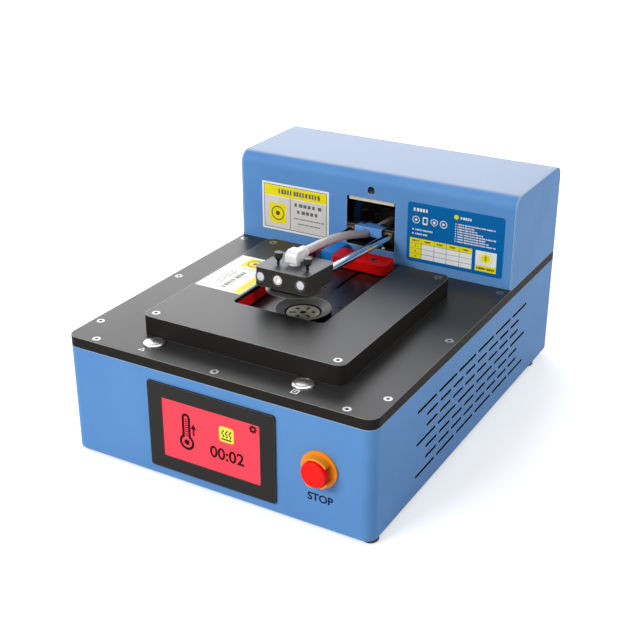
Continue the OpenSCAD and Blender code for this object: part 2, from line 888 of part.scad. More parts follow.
module rear_clamp_block() {
    color([0.66, 0.02, 0.02]) translate([rear_clamp_x, rear_clamp_y, bed_top + clamp_lift])
        difference() {
        translate([0, rear_clamp_d / 2, 0])
            round_block(rear_clamp_w, rear_clamp_d, rear_clamp_h, rear_clamp_r);
        translate([-slide_w / 2 - seat, rear_clamp_d / 2 - slide_d / 2 - seat, -eps])
            cube([slide_w + 2 * seat, slide_d + 2 * seat, slide_t - clamp_lift + fit + eps]);
        for (p = clamp_screw_places) translate([p[0], p[1], rear_clamp_h]) csk_seat(rear_clamp_h + eps);
    }
}

// Slide below the block with its key in the bed's slot, and the two screws that hold it
module rear_clamp_slide() {
    color([0.3, 0.31, 0.33]) translate([rear_clamp_x, rear_clamp_y, bed_top + fit]) {
        difference() {
            translate([-slide_w / 2, rear_clamp_d / 2 - slide_d / 2, 0])
                cube([slide_w, slide_d, slide_t]);
            for (p = clamp_screw_places) translate([p[0], p[1], -eps])
                cylinder(r = csk_shank_r + seat, h = slide_t + 2 * eps);
        }
        translate([bed_x - rear_clamp_x - key_w / 2, rear_clamp_d / 2 - key_l / 2, -key_h])
            cube([key_w, key_l, key_h]);
    }
    color([0.75, 0.76, 0.78]) for (p = clamp_screw_places)
        translate([rear_clamp_x + p[0], rear_clamp_y + p[1], bed_top + clamp_lift + rear_clamp_h])
            csk_screw(rear_clamp_h + clamp_lift - gap);
}

// Ring sector in the XZ plane that grows towards -Y
module shroud_sector(from, to) {
    steps = ceil((to - from) / 20);
    reach = shroud_r / cos(10) + eps;
    rotate([90, 0, 0]) linear_extrude(shroud_h) intersection() {
        difference() {
            circle(shroud_r);
            circle(shroud_r - shroud_wall);
        }
        polygon(concat([[0, 0]], [for (i = [0 : steps]) reach * [cos(from + (to - from) * i / steps),
            sin(from + (to - from) * i / steps)]]));
    }
}

module stop_guard() {
    color([0.95, 0.58, 0.04]) translate([stop_x, front_y, stop_z]) {
        difference() {
            rotate([90, 0, 0]) cylinder(r = guard_r, h = guard_t);
            rotate([90, 0, 0]) translate([0, 0, -eps])
                cylinder(r = stop_barrel_r + seat, h = guard_t + 2 * eps);
        }
        for (a = shroud_arcs) shroud_sector(a[0], a[1]);
    }
}

// Stop head with its plunger: a body of revolution about the stop's axis
module stop_head() {
    color([0.85, 0.03, 0.03]) translate([stop_x, front_y - stop_back, stop_z]) rotate([90, 0, 0]) {
        cylinder(r = stop_r, h = stop_head_t - stop_edge_r);
        cylinder(r = stop_r - stop_edge_r, h = stop_head_t);
        translate([0, 0, stop_head_t - stop_edge_r]) rotate_extrude()
            translate([stop_r - stop_edge_r, 0])
            intersection() {
                circle(stop_edge_r);
                square(stop_edge_r);
            }
        translate([0, 0, -plunger_l]) cylinder(r = plunger_r, h = plunger_l);
    }
}

module stop_body() {
    color([0.12, 0.12, 0.13]) translate([stop_x, front_y, stop_z]) difference() {
        union() {
            translate([0, -guard_t, 0]) rod_y(stop_barrel_r, guard_t + sheet_t + stop_neck_l);
            translate([0, sheet_t, 0]) rod_y(stop_barrel_r + nut_t, nut_t);
            translate([0, sheet_t + stop_neck_l, 0])
                wall_block(stop_block_w, stop_block_w, stop_block_d, stop_edge_r);
        }
        translate([0, -guard_t - eps, 0])
            rod_y(plunger_r + fit, guard_t + eps + plunger_l - stop_back + stop_rest_gap);
    }
}

module display_bezel() {
    color([0.17, 0.17, 0.16]) translate([display_x, front_y - bezel_t, display_z]) difference() {
        wall_block(bezel_w, bezel_h, bezel_t, bezel_corner_r);
        translate([0, -eps, 0]) wall_block(screen_w, screen_h, bezel_t + 2 * eps, bezel_corner_r / 2);
    }
}

// Lit glass behind the bezel with the module's board and its plug
module display_panel() {
    color([1, 0.35, 0.42]) translate([display_x, front_y, display_z]) {
        wall_block(screen_w + 2 * glass_lap, screen_h + 2 * glass_lap, glass_t, bezel_corner_r / 2);
        translate([0, glass_set - bezel_t, 0])
            wall_block(screen_w - 2 * seat, screen_h - 2 * seat, bezel_t - glass_set,
                bezel_corner_r / 2);
        translate([0, glass_t, 0])
            wall_block(screen_w + 2 * glass_lap, screen_h + 2 * glass_lap, board_t, bezel_corner_r);
        translate([0, glass_t + board_t, 0])
            wall_block(screen_w / 2, screen_h / 4, board_back, bezel_corner_r / 2);
    }
}

module button_bodies() {
    color([0.8, 0.81, 0.83]) for (s = [-1, 1])
        translate([s * button_x, front_y + button_back, deck_top]) difference() {
        union() {
            cylinder(r = button_r, h = button_flange_h - button_bevel);
            translate([0, 0, button_flange_h - button_bevel])
                cylinder(r1 = button_r, r2 = button_r - 2 * button_bevel, h = button_bevel);
            translate([0, 0, -button_body_l]) cylinder(r = button_hole_r, h = button_body_l);
            translate([0, 0, -deck_t - sheet_t - nut_t]) cylinder(r = nut_r, h = nut_t, $fn = 6);
            translate([0, 0, -deck_t - sheet_t]) cylinder(r = nut_r, h = sheet_t);
        }
        translate([0, 0, button_flange_h + button_cap_rise - button_cap_h - button_travel - fit])
            cylinder(r = button_cap_r + fit, h = button_cap_h + button_travel + eps);
        translate([0, 0, -button_stem_l - button_travel - gap])
            cylinder(r = button_stem_r + fit, h = button_stem_l + eps);
    }
}

// Slightly domed cap with its stem
module button_cap(s) {
    color([0.86, 0.87, 0.89])
        translate([s * button_x, front_y + button_back, deck_top + button_flange_h]) {
        translate([0, 0, button_cap_rise - button_cap_h])
            cylinder(r = button_cap_r, h = button_cap_h - button_cap_rise);
        intersection() {
            cylinder(r = button_cap_r, h = button_cap_rise);
            translate([0, 0, button_cap_rise - button_dome_r]) sphere(button_dome_r);
        }
        translate([0, 0, -button_stem_l - button_flange_h])
            cylinder(r = button_stem_r, h = button_stem_l);
    }
}

module button_cap_left() {
    button_cap(-1);
}

module button_cap_right() {
    button_cap(1);
}

// Side profile of the housing, inset all round but at the bottom
module housing_profile(inset, low) {
    r = housing_r - inset;
    front = housing_y + inset;
    rear = rear_y - inset;
    top = housing_top - inset;
    translate([front, low]) square([rear - front, top - r - low]);
    translate([front + r, low]) square([rear - front - 2 * r, top - low]);
    for (y = [front + r, rear - r]) translate([y, top - r]) circle(r);
}

module housing_slice(x, w, inset, low) {
    translate([x, 0, 0]) rotate([90, 0, 90]) linear_extrude(w) housing_profile(inset, low);
}

module housing_wrap() {
    wrap_w = body_w - 2 * sheet_t;
    color([0.42, 0.6, 0.81]) difference() {
        union() {
            difference() {
                housing_slice(-wrap_w / 2, wrap_w, 0, deck_top);
                housing_slice(-body_w, 2 * body_w, sheet_t, deck_top - eps);
            }
            translate([-opening_w / 2, housing_y, opening_low - sheet_t])
                cube([opening_w, sill_d, sheet_t]);
        }
        translate([0, housing_y - eps, opening_low + opening_h / 2])
            wall_block(opening_w, opening_h, sheet_t + 2 * eps, opening_corner_r);
        translate([0, housing_y - eps, lens_z]) rod_y(lens_r + seat, sheet_t + 2 * eps);
        for (x = housing_screw_x) translate([x, rear_y - sheet_t - eps, deck_top + housing_screw_rise])
            rod_y(pan_shank_r + seat, sheet_t + 2 * eps);
        translate([down_stop_x, housing_y + sill_d / 2, opening_low - sheet_t - eps])
            cylinder(r = pan_shank_r, h = sheet_t + 2 * eps);
    }
}

// Two side caps, each a plate with a narrow lip inside the wrap
module housing_caps() {
    color([0.42, 0.6, 0.81]) for (s = [-1, 1]) {
        housing_slice(s * (body_w - sheet_t) / 2 - sheet_t / 2, sheet_t, 0, deck_top);
        difference() {
            housing_slice(s * (body_w / 2 - sheet_t - flange / 2) - flange / 2, flange, sheet_t,
                deck_top);
            housing_slice(-body_w, 2 * body_w, 2 * sheet_t, deck_top - eps);
            for (x = housing_screw_x)
                translate([x, rear_y - 2 * sheet_t - eps, deck_top + housing_screw_rise])
                rod_y(pan_shank_r + seat, sheet_t + 2 * eps);
        }
    }
}

module opening_strip() {
    color([0.86, 0.8, 0.66])
        translate([0, housing_y + sheet_t, opening_high - strip_show + strip_h / 2])
        wall_block(strip_w, strip_h, strip_t, strip_t / 2);
}

module sensor_lens() {
    color([0.02, 0.02, 0.03]) translate([0, housing_y, lens_z]) difference() {
        union() {
            translate([0, lens_set, 0]) rod_y(lens_r, lens_depth);
            translate([0, sheet_t, 0]) rod_y(lens_flange_r, sheet_t);
        }
        translate([0, lens_set - lens_r * 2 + lens_cup, 0]) sphere(lens_r * 2);
    }
}

module down_stop() {
    color([0.93, 0.93, 0.92]) translate([down_stop_x, housing_y + sill_d / 2, opening_low]) {
        cylinder(r = down_stop_r, h = down_stop_h);
        translate([0, 0, down_stop_h]) intersection() {
            sphere(down_stop_r);
            cylinder(r = down_stop_r, h = down_stop_r);
        }
        translate([0, 0, -sheet_t]) cylinder(r = pan_shank_r, h = sheet_t);
    }
}

module arm_cradle() {
    left = -upright_x - upright_t;
    right = motor_x + motor_box_w;
    color([0.2, 0.2, 0.21]) difference() {
        union() {
            translate([left, pivot_y - upright_r, deck_top])
                cube([right - left, 2 * upright_r, cradle_t]);
            for (x = [left, upright_x]) {
                translate([x, pivot_y - upright_r, deck_top])
                    cube([upright_t, 2 * upright_r, pivot_rise]);
                translate([x, pivot_y, pivot_z]) rod_x(upright_r, upright_t);
            }
            translate([motor_x, pivot_y - upright_r, deck_top])
                cube([motor_box_w, 2 * upright_r, pivot_rise - motor_box_h / 2]);
        }
        for (x = [left, upright_x]) translate([x - eps, pivot_y, pivot_z])
            rod_x(bearing_r + seat, upright_t + 2 * eps);
    }
}

module pivot_bearings() {
    color([0.78, 0.79, 0.81]) for (x = [-upright_x - upright_t, upright_x])
        translate([x, pivot_y, pivot_z])
        difference() {
            rod_x(bearing_r, upright_t);
            translate([-eps, 0, 0]) rod_x(shaft_r + fit, upright_t + 2 * eps);
            for (dx = [-eps, upright_t - bearing_step]) translate([dx, 0, 0]) difference() {
                rod_x(bearing_r - 2, bearing_step + eps);
                rod_x(bearing_step_r, bearing_step + eps);
            }
        }
}

module gear_motor() {
    color([0.35, 0.36, 0.38]) translate([motor_x, pivot_y, pivot_z]) difference() {
        union() {
            translate([0, -motor_box_d / 2, -motor_box_h / 2])
                cube([motor_box_w, motor_box_d, motor_box_h]);
            translate([motor_box_w, 0, 0]) rod_x(motor_r, motor_l);
            translate([motor_box_w + motor_l, 0, 0]) rod_x(motor_cap_r, motor_cap_l);
        }
        translate([-eps, 0, 0]) rod_x(shaft_r + fit, shaft_right - motor_x + eps + gap);
    }
}

// Union that carries the vacuum from the turning shaft to the inner hose
module rotary_union() {
    color([0.78, 0.62, 0.28]) translate([-shaft_left - union_l + union_arm, pivot_y, pivot_z])
        difference() {
        union() {
            rod_x(union_r, union_l);
            translate([union_r / 2, 0, -union_r - union_barb_l])
                cylinder(r = union_barb_r, h = union_r + union_barb_l);
        }
        translate([union_l - union_arm - gap, 0, 0]) rod_x(shaft_r + fit, union_arm + gap + eps);
        translate([union_r / 2, 0, 0]) rod_x(shaft_bore_r, union_l);
        translate([union_r / 2, 0, -union_r - union_barb_l - eps])
            cylinder(r = shaft_bore_r, h = union_r + union_barb_l + eps);
    }
}

// Tube swept along a list of points, with a hole through it
module tube(points, r, sides) {
    n = len(points);
    dirs = [for (i = [0 : n - 1]) let (d = points[min(i + 1, n - 1)] - points[max(i - 1,
        0)]) d / norm(d)];
    rings = [for (i = [0 : n - 1]) let (u0 = cross(dirs[i], [1, 0.02, 0]), u = u0 / norm(u0),
        v = cross(dirs[i], u))
        for (k = [0 : sides - 1])
            points[i] + r * (cos(k * 360 / sides) * u + sin(k * 360 / sides) * v)];
    faces = concat(
        [[for (k = [0 : sides - 1]) k]],
        [for (i = [0 : n - 2], k = [0 : sides - 1]) [i * sides + k, (i + 1) * sides + k,
            (i + 1) * sides + (k + 1) % sides, i * sides + (k + 1) % sides]],
        [[for (k = [0 : sides - 1]) (n - 1) * sides + sides - 1 - k]]
    );
    polyhedron(rings, faces, convexity = 6);
}

module inner_hose() {
    color([0.75, 0.77, 0.78])
        translate([-shaft_left - union_l + union_arm + union_r / 2, pivot_y,
            pivot_z - union_r - union_barb_l])
            tube(inner_path, inner_hose_r, 12);
}

module vacuum_hose() {
    color([0.62, 0.66, 0.69]) arm_place() tube([for (p = hose_path) [p[0], -p[1], p[2]]], hose_r, 12);
}

module pivot_shaft() {
    color([0.75, 0.76, 0.78]) arm_place() difference() {
        translate([-shaft_left, 0, 0]) rod_x(shaft_r, shaft_left + shaft_right);
        translate([-shaft_left - eps, 0, 0]) rod_x(shaft_bore_r, shaft_left + hose_end_x + eps);
        translate([hose_end_x, -shaft_r - eps, 0]) rod_y(shaft_bore_r, shaft_r + eps);
    }
}

module arm_carrier() {
    color([0.1, 0.1, 0.11]) arm_place() difference() {
        translate([-carrier_w / 2, -carrier_front, -carrier_h / 2])
            cube([carrier_w, carrier_front + carrier_back, carrier_h]);
        translate([-carrier_w, 0, 0]) rod_x(shaft_r + seat, 2 * carrier_w);
        for (s = [-1, 1]) translate([s * rod_x_place, -carrier_front - eps, 0])
            rod_y(rod_r + seat, carrier_front - rod_start + eps);
        translate([hose_end_x, -carrier_front - eps, 0])
            rod_y(hose_r + hose_bore, carrier_front - carrier_hose_deep + eps);
        translate([hose_end_x, -carrier_hose_deep - eps, 0]) rod_y(shaft_bore_r, carrier_hose_deep);
    }
}

module guide_rods() {
    color([0.82, 0.83, 0.85]) arm_place() for (s = [-1, 1])
        translate([s * rod_x_place, rod_set - arm_reach, 0])
        rod_y(rod_r, arm_reach - rod_set - rod_start);
}

module arm_yoke() {
    color([0.1, 0.1, 0.11]) arm_place() difference() {
        translate([-yoke_w / 2, -yoke_front, -yoke_down]) cube([yoke_w, yoke_d, yoke_up + yoke_down]);
        for (s = [-1, 1]) translate([s * rod_x_place, -yoke_front - eps, 0])
            rod_y(rod_r + seat, yoke_d + 2 * eps);
        translate([hose_end_x, -yoke_front - eps, 0]) rod_y(hose_r + hose_bore, yoke_d + 2 * eps);
        for (s = [-1, 1]) translate([s * bracket_slot_x, bracket_slot_back - yoke_front, -yoke_down])
            cylinder(r = pan_shank_r + seat, h = 2 * yoke_up + yoke_down);
    }
}

module rod_flanges() {
    color([0.62, 0.55, 0.28]) arm_place() for (s = [-1, 1])
        translate([s * rod_x_place, -yoke_front - flange_t, 0])
        difference() {
            wall_block(flange_w, flange_w, flange_t, head_r / 6);
            translate([0, -eps, 0]) rod_y(rod_r + seat, flange_t + 2 * eps);
        }
}

module hose_bracket() {
    front = yoke_front + bracket_ahead;
    color([0.12, 0.45, 0.8]) arm_place() difference() {
        union() {
            translate([-bracket_w / 2, -front, yoke_up])
                cube([bracket_w, bracket_ahead + bracket_behind, bracket_t]);
            translate([-bracket_w / 2, -front, yoke_up - bracket_drop])
                cube([bracket_w, bracket_t, bracket_drop + bracket_t]);
        }
        translate([hose_end_x, -front - eps, 0]) rod_y(notch_r, bracket_t + 2 * eps);
        for (s = [-1, 1]) translate([s * bracket_slot_x, bracket_slot_back - yoke_front,
            yoke_up - eps]) {
            translate([-bracket_slot_w / 2, -bracket_slot_l / 2, 0])
                cube([bracket_slot_w, bracket_slot_l, bracket_t + 2 * eps]);
        }
    }
}

// Two pan head screws of the bracket and the socket screw in the head's front
module arm_screws() {
    color([0.75, 0.76, 0.78]) arm_place() {
        for (s = [-1, 1]) translate([s * bracket_slot_x, bracket_slot_back - yoke_front,
            yoke_up + bracket_t])
            pan_screw(pan_shank_l + bracket_t);
        translate([hose_end_x, socket_set - arm_reach, 0]) difference() {
            union() {
                rod_y(socket_r, socket_h);
                rod_y(socket_shank_r, socket_h + socket_shank_l);
            }
            translate([0, -eps, 0]) rotate([-90, 0, 0])
                cylinder(r = socket_r / 2, h = socket_h / 2 + eps, $fn = 6);
        }
    }
}

thumb_places = [for (s = [-1, 1]) [thumb_shift + s * thumb_pitch / 2, thumb_back - arm_reach]];

module head_block() {
    color([0.1, 0.1, 0.11]) arm_place() difference() {
        translate([0, head_back - arm_reach, -head_h / 2]) round_block(head_w, head_d, head_h, head_r);
        for (s = [-1, 1]) translate([s * rod_x_place, -arm_reach, 0]) {
            translate([0, -eps, 0]) rod_y(rod_r + seat, head_d + 2 * eps);
            translate([0, -eps, 0]) rod_y(rod_r + rod_ring, rod_ring_deep + eps);
        }
        translate([hose_end_x, -arm_reach - eps, 0])
            rod_y(socket_r + rod_ring, socket_h + socket_set + eps);
        translate([hose_end_x, -arm_reach, 0])
            rod_y(socket_shank_r + seat, socket_set + socket_h + socket_shank_l + gap);
        translate([0, cup_back - arm_reach, -head_h]) cylinder(r = stem_r + seat, h = 2 * head_h);
        for (p = thumb_places) translate([p[0], p[1], head_h / 2 - thumb_deep - gap])
            cylinder(r = thumb_stem_r + fit, h = thumb_deep + gap + eps);
    }
}

// Knurled thumb screw: stem, cone and knob
module thumb_screw(p) {
    color([0.8, 0.81, 0.83]) arm_place() translate([p[0], p[1], head_h / 2]) {
        translate([0, 0, -thumb_deep]) cylinder(r = thumb_stem_r, h = thumb_deep + thumb_stem_h);
        translate([0, 0, thumb_stem_h])
            cylinder(r1 = thumb_stem_r, r2 = thumb_knob_r, h = thumb_cone_h);
        translate([0, 0, thumb_stem_h + thumb_cone_h]) difference() {
            cylinder(r = thumb_knob_r, h = thumb_knob_h);
            for (i = [0 : 11]) rotate(i * 30) translate([thumb_knob_r + thumb_stem_r / 4, 0, -eps])
                cylinder(r = thumb_stem_r / 2, h = thumb_knob_h + 2 * eps);
        }
    }
}

module thumb_screw_left() {
    thumb_screw(thumb_places[0]);
}

module thumb_screw_right() {
    thumb_screw(thumb_places[1]);
}

// White push-in elbow, its collar towards the rear
module elbow_fitting() {
    back = elbow_l / 2;
    rise = elbow_bore_h;
    color([0.93, 0.93, 0.91]) arm_place() translate([0, cup_back - arm_reach, head_h / 2])
        difference() {
        union() {
            cylinder(r = elbow_foot_r, h = elbow_foot_h);
            difference() {
                translate([-elbow_w / 2, -back, elbow_foot_h]) cube([elbow_w, elbow_l, elbow_h]);
                translate([0, -back + elbow_bend_r, elbow_foot_h + elbow_h - elbow_bend_r])
                    elbow_corner();
            }
            translate([0, back, rise]) rod_y(collar_neck_r, collar_l);
            translate([0, back + collar_l - collar_step, rise]) rod_y(collar_r, collar_step);
            translate([0, back, rise]) rod_y(collar_r, collar_step / 2);
        }
        translate([0, back + collar_l - hose_in, rise]) rod_y(hose_r + hose_bore, hose_in + eps);
        translate([0, 0, rise]) rod_y(stem_bore_r, back + collar_l);
        translate([0, 0, -eps]) cylinder(r = stem_bore_r, h = rise + eps);
    }
}

// What the elbow's rounded top front edge leaves out
module elbow_corner() {
    difference() {
        translate([-elbow_w, -2 * elbow_bend_r, 0])
            cube([2 * elbow_w, 2 * elbow_bend_r, 2 * elbow_bend_r]);
        translate([-elbow_w - eps, 0, 0]) rod_x(elbow_bend_r, 2 * elbow_w + 2 * eps);
    }
}

module cup_stem() {
    color([0.62, 0.55, 0.28]) arm_place() translate([0, cup_back - arm_reach, 0]) difference() {
        union() {
            translate([0, 0, -head_h / 2 - stem_flange_t])
                cylinder(r = stem_flange_r, h = stem_flange_t);
            translate([0, 0, -head_h / 2 - cup_drop + cup_lip_t])
                cylinder(r = stem_r, h = head_h + cup_drop - cup_lip_t);
        }
        translate([0, 0, -head_h]) cylinder(r = stem_bore_r, h = 2 * head_h);
    }
}

module upper_cup() {
    color([0.1, 0.1, 0.1]) arm_place() translate([0, cup_back - arm_reach, -head_h / 2])
        rotate_extrude()
        polygon([
            [stem_r + seat, -stem_flange_t], [cup_top_r, -stem_flange_t], [cup_top_r + cup_wall,
                -stem_flange_t - cup_wall],
            [cup_r - 3 * cup_wall, -cup_drop + 2 * cup_lip_t], [cup_r, -cup_drop + cup_lip_t / 2],
                [cup_r, -cup_drop],
            [cup_r - cup_wall, -cup_drop], [cup_r - 5 * cup_wall, -cup_drop + cup_lip_t],
            [cup_top_r, -stem_flange_t - 2 * cup_wall], [stem_r + seat, -stem_flange_t - 2 * cup_wall]
        ]);
}

module power_supply() {
    x = supply_x - supply_w / 2;
    y = front_y + supply_front;
    color([0.7, 0.71, 0.73]) difference() {
        translate([x, y, floor_z]) cube([supply_w, supply_d, supply_h]);
        for (i = [1 : 14]) translate([supply_x - supply_vent_l / 2, y + i * supply_vent_pitch,
            floor_z + supply_h - supply_vent_w])
            cube([supply_vent_l, supply_vent_w, supply_vent_w + eps]);
        translate([x - eps, y + supply_d - terminal_d, floor_z + supply_h - terminal_h - sheet_t])
            cube([supply_w + 2 * eps, terminal_d + eps, terminal_h]);
    }
    color([0.1, 0.1, 0.1])
        translate([supply_x - terminal_w / 2, y + supply_d - terminal_d,
            floor_z + supply_h - terminal_h - sheet_t])
        cube([terminal_w, terminal_d - sheet_t, supply_lug_h]);
}

module control_board() {
    x = board_x - board_w / 2;
    y = front_y + board_front;
    color([0.05, 0.35, 0.16]) {
        translate([x, y, floor_z + board_rise]) cube([board_w, board_d, board_t]);
        for (px = [post_inset, board_w - post_inset], py = [post_inset, board_d - post_inset])
            translate([x + px, y + py, floor_z]) cylinder(r = post_r, h = board_rise);
        translate([board_x - chip_w / 2, y + board_d / 2, floor_z + board_rise + board_t])
            cube([chip_w, chip_w, chip_h]);
        for (i = [0 : 2]) translate([x + 2 * post_inset + i * (relay_w + post_r),
            y + board_d - relay_w - 2 * post_inset, floor_z + board_rise + board_t])
            cube([relay_w, relay_w, relay_h]);
        translate([board_x - terminal_w / 2, y, floor_z + board_rise + board_t])
            cube([terminal_w, terminal_d, terminal_h]);
    }
}

module vacuum_pump() {
    y = front_y + pump_front;
    z = floor_z + pump_r + sheet_t;
    color([0.15, 0.15, 0.16]) translate([pump_x, y, 0]) {
        translate([-pump_head_w / 2, 0, floor_z]) cube([pump_head_w, pump_head_d, pump_head_h]);
        translate([0, pump_head_d, z]) rod_y(pump_r, pump_l);
        translate([-pump_saddle_w / 2, pump_head_d + pump_l / 3, floor_z])
            cube([pump_saddle_w, pump_l / 3, pump_r]);
        for (s = [-1, 1]) translate([s * pump_head_w / 4, pump_head_d / 2, floor_z + pump_head_h])
            cylinder(r = pump_port_r, h = pump_port_l);
    }
}

module solenoid_valve() {
    y = rear_y - valve_back;
    color([0.7, 0.71, 0.73]) translate([valve_x, y, floor_z]) {
        translate([-valve_w / 2, 0, 0]) cube([valve_w, valve_d, valve_h]);
        translate([-valve_coil_w / 2, valve_d / 4, valve_h])
            cube([valve_coil_w, valve_coil_w, valve_coil_h]);
        translate([-valve_w / 2 - union_barb_l, valve_d * 3 / 4, valve_h / 2])
            rod_x(union_barb_r, union_barb_l);
        translate([0, -union_barb_l, valve_h / 2]) rod_y(union_barb_r, union_barb_l);
    }
}

// Fan seen along its axis: the square frame, with or without the spider that holds the hub
module fan_face(spider) {
    difference() {
        round_rect(fan_w, fan_w, fan_corner_r);
        circle(fan_bore_r);
    }
    if (spider) difference() {
        union() {
            circle(fan_hub_r);
            for (a = [45 : 90 : 315]) rotate(a) translate([fan_hub_r - fan_spider_t, -fan_spider_t / 2])
                square([fan_bore_r - fan_hub_r + 2 * fan_spider_t, fan_spider_t]);
        }
        circle(fan_pin_r + fit);
    }
}

module fan_frame() {
    color([0.09, 0.09, 0.1]) translate([fan_x, rear_y - sheet_t, casing_z + fan_rise]) rotate([90, 0, 0]) {
        linear_extrude(fan_t - fan_spider_t) fan_face(false);
        translate([0, 0, fan_t - fan_spider_t]) linear_extrude(fan_spider_t) fan_face(true);
    }
}

module fan_rotor() {
    color([0.13, 0.13, 0.14]) translate([fan_x, rear_y - sheet_t - fan_t, casing_z + fan_rise]) {
        translate([0, fan_spider_t / 2, 0]) rod_y(fan_pin_r, fan_spider_t);
        translate([0, fan_spider_t + gap, 0]) rod_y(fan_hub_r, fan_t - fan_spider_t - 3 * gap);
        intersection() {
            translate([0, fan_spider_t + gap, 0])
                rod_y(fan_blade_tip_r, fan_t - fan_spider_t - 3 * gap);
            for (i = [0 : fan_blades - 1]) rotate([0, i * 360 / fan_blades, 0])
                translate([0, fan_spider_t + gap + (fan_t - fan_spider_t - 3 * gap) / 2, 0])
                    rotate([fan_blade_turn, 0, 0])
                    translate([fan_hub_r / 2, -fan_blade_h / 2, -fan_blade_t / 2])
                        cube([fan_bore_r, fan_blade_h, fan_blade_t]);
        }
    }
}

module power_inlet() {
    color([0.08, 0.08, 0.09]) translate([inlet_x, rear_y, casing_z + inlet_rise]) difference() {
        union() {
            wall_block(inlet_w, inlet_h, rear_reach, inlet_lap);
            translate([0, -inlet_depth, 0])
                wall_block(inlet_w - 2 * inlet_lap - 2 * seat, inlet_h - 2 * inlet_lap - 2 * seat,
                    inlet_depth, inlet_lap);
        }
        difference() {
            translate([0, -inlet_depth * 2 / 3, -inlet_pocket_drop])
                wall_block(inlet_pocket_w, inlet_pocket_h, inlet_depth, inlet_lap);
            for (i = [-1 : 1]) translate([i * inlet_pin_pitch - inlet_pin_w / 2, -inlet_depth,
                -inlet_pocket_drop - inlet_pin_h / 2])
                cube([inlet_pin_w, inlet_depth - inlet_lap, inlet_pin_h]);
        }
        translate([0, -inlet_depth / 3, rocker_up])
            wall_block(rocker_w + 2 * gap, rocker_h + 2 * gap, inlet_depth, rocker_cut);
        translate([-rocker_w / 2 - gap - rocker_pin_l, -rocker_pin_back, rocker_up])
            rod_x(rocker_pin_r + fit, rocker_w + 2 * gap + 2 * rocker_pin_l);
    }
}

module rocker() {
    color([0.75, 0.06, 0.05])
        translate([inlet_x, rear_y - rocker_pin_back, casing_z + inlet_rise + rocker_up])
            rotate([rocker_tilt, 0, 0]) {
        difference() {
            translate([-rocker_w / 2, -rocker_t / 2, -rocker_h / 2 + rocker_cut])
                cube([rocker_w, rocker_t, rocker_h - 2 * rocker_cut]);
            translate([-rocker_w, rocker_t / 2 + rocker_h * 2 - rocker_cut, 0])
                rod_x(rocker_h * 2, 2 * rocker_w);
        }
        translate([-rocker_w / 2 - rocker_pin_l, 0, 0])
            rod_x(rocker_pin_r, rocker_w + 2 * rocker_pin_l);
    }
}

base_casing();
bottom_plate();
rear_panel();
feet();
case_screws();
deck_plate();
countersunk_screws();
platform_frame();
bed_plate();
heater_mat();
bed_spacers();
bed_tray();
temperature_probe();
lower_cup();
lower_cup_disc();
corner_block();
stop_guard();
stop_body();
display_bezel();
display_panel();
button_bodies();
housing_wrap();
housing_caps();
opening_strip();
sensor_lens();
down_stop();
arm_cradle();
pivot_bearings();
gear_motor();
rotary_union();
inner_hose();
vacuum_pump();
solenoid_valve();
power_supply();
control_board();
fan_frame();
power_inlet();
arm_carrier();
pivot_shaft();
guide_rods();
arm_yoke();
rod_flanges();
hose_bracket();
arm_screws();
head_block();
elbow_fitting();
vacuum_hose();
upper_cup();
cup_stem();
thumb_screw_left();
thumb_screw_right();
side_clamp_bar();
side_clamp_pins();
rear_clamp_block();
rear_clamp_slide();
button_cap_left();
button_cap_right();
stop_head();
fan_rotor();
rocker();
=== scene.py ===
# %% [markdown]
# # A desktop separator for phone screens, dressed in Blender
# The machine warms a phone on a bed, then an arm with a vacuum cup lifts its screen off.
# Its solids come from a CAD model and stay where they are. Blender only adds the hoses, the
# printed and lit surfaces, the finishes, the light and the camera.
# %% Load the machine's solids
import math

import bpy
from mathutils import Matrix, Vector


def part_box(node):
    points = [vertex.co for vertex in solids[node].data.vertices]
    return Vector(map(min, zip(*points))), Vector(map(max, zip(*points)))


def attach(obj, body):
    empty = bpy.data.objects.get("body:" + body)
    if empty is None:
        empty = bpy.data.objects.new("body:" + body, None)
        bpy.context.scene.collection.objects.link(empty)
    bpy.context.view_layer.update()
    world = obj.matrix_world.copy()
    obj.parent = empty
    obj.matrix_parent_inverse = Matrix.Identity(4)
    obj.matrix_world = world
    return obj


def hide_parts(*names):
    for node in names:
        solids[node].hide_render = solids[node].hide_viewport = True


MM = 0.001
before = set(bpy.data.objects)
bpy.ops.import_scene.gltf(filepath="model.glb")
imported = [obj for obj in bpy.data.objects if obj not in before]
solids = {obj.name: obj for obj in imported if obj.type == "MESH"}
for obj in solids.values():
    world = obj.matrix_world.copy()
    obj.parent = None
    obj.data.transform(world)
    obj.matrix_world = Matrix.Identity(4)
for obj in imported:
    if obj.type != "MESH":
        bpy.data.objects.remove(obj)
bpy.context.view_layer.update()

# %% [markdown]
# ## Camera
# The picture was taken from in front, a little to the right and from above. The camera's place
# was solved from the machine's own straight edges, and the small shift is how the picture was
# cropped. A long lens keeps the verticals nearly parallel.
# %% Place the camera
CAMERA_PLACE = (0.4824, -0.86045, 0.5515)
CAMERA_BACK = Vector((0.4535, -0.7869, 0.4186)).normalized()
CAMERA_RIGHT = Vector((0.8666, 0.4989, -0.001)).normalized()
LENS_MM, SENSOR_MM = 64.52, 36
SHIFT = (0.0078, -0.0169)

camera_up = CAMERA_BACK.cross(CAMERA_RIGHT).normalized()
camera_right = camera_up.cross(CAMERA_BACK)
camera = bpy.data.objects.new("camera", bpy.data.cameras.new("camera"))
collection = bpy.context.scene.collection
collection.objects.link(camera)
turn = Matrix((camera_right, camera_up, CAMERA_BACK)).transposed().to_4x4()
camera.matrix_world = Matrix.Translation(CAMERA_PLACE) @ turn
camera.data.lens = LENS_MM
camera.data.sensor_width = SENSOR_MM
camera.data.shift_x, camera.data.shift_y = SHIFT
bpy.context.scene.camera = camera
print("camera looks along", [round(-x, 3) for x in CAMERA_BACK])

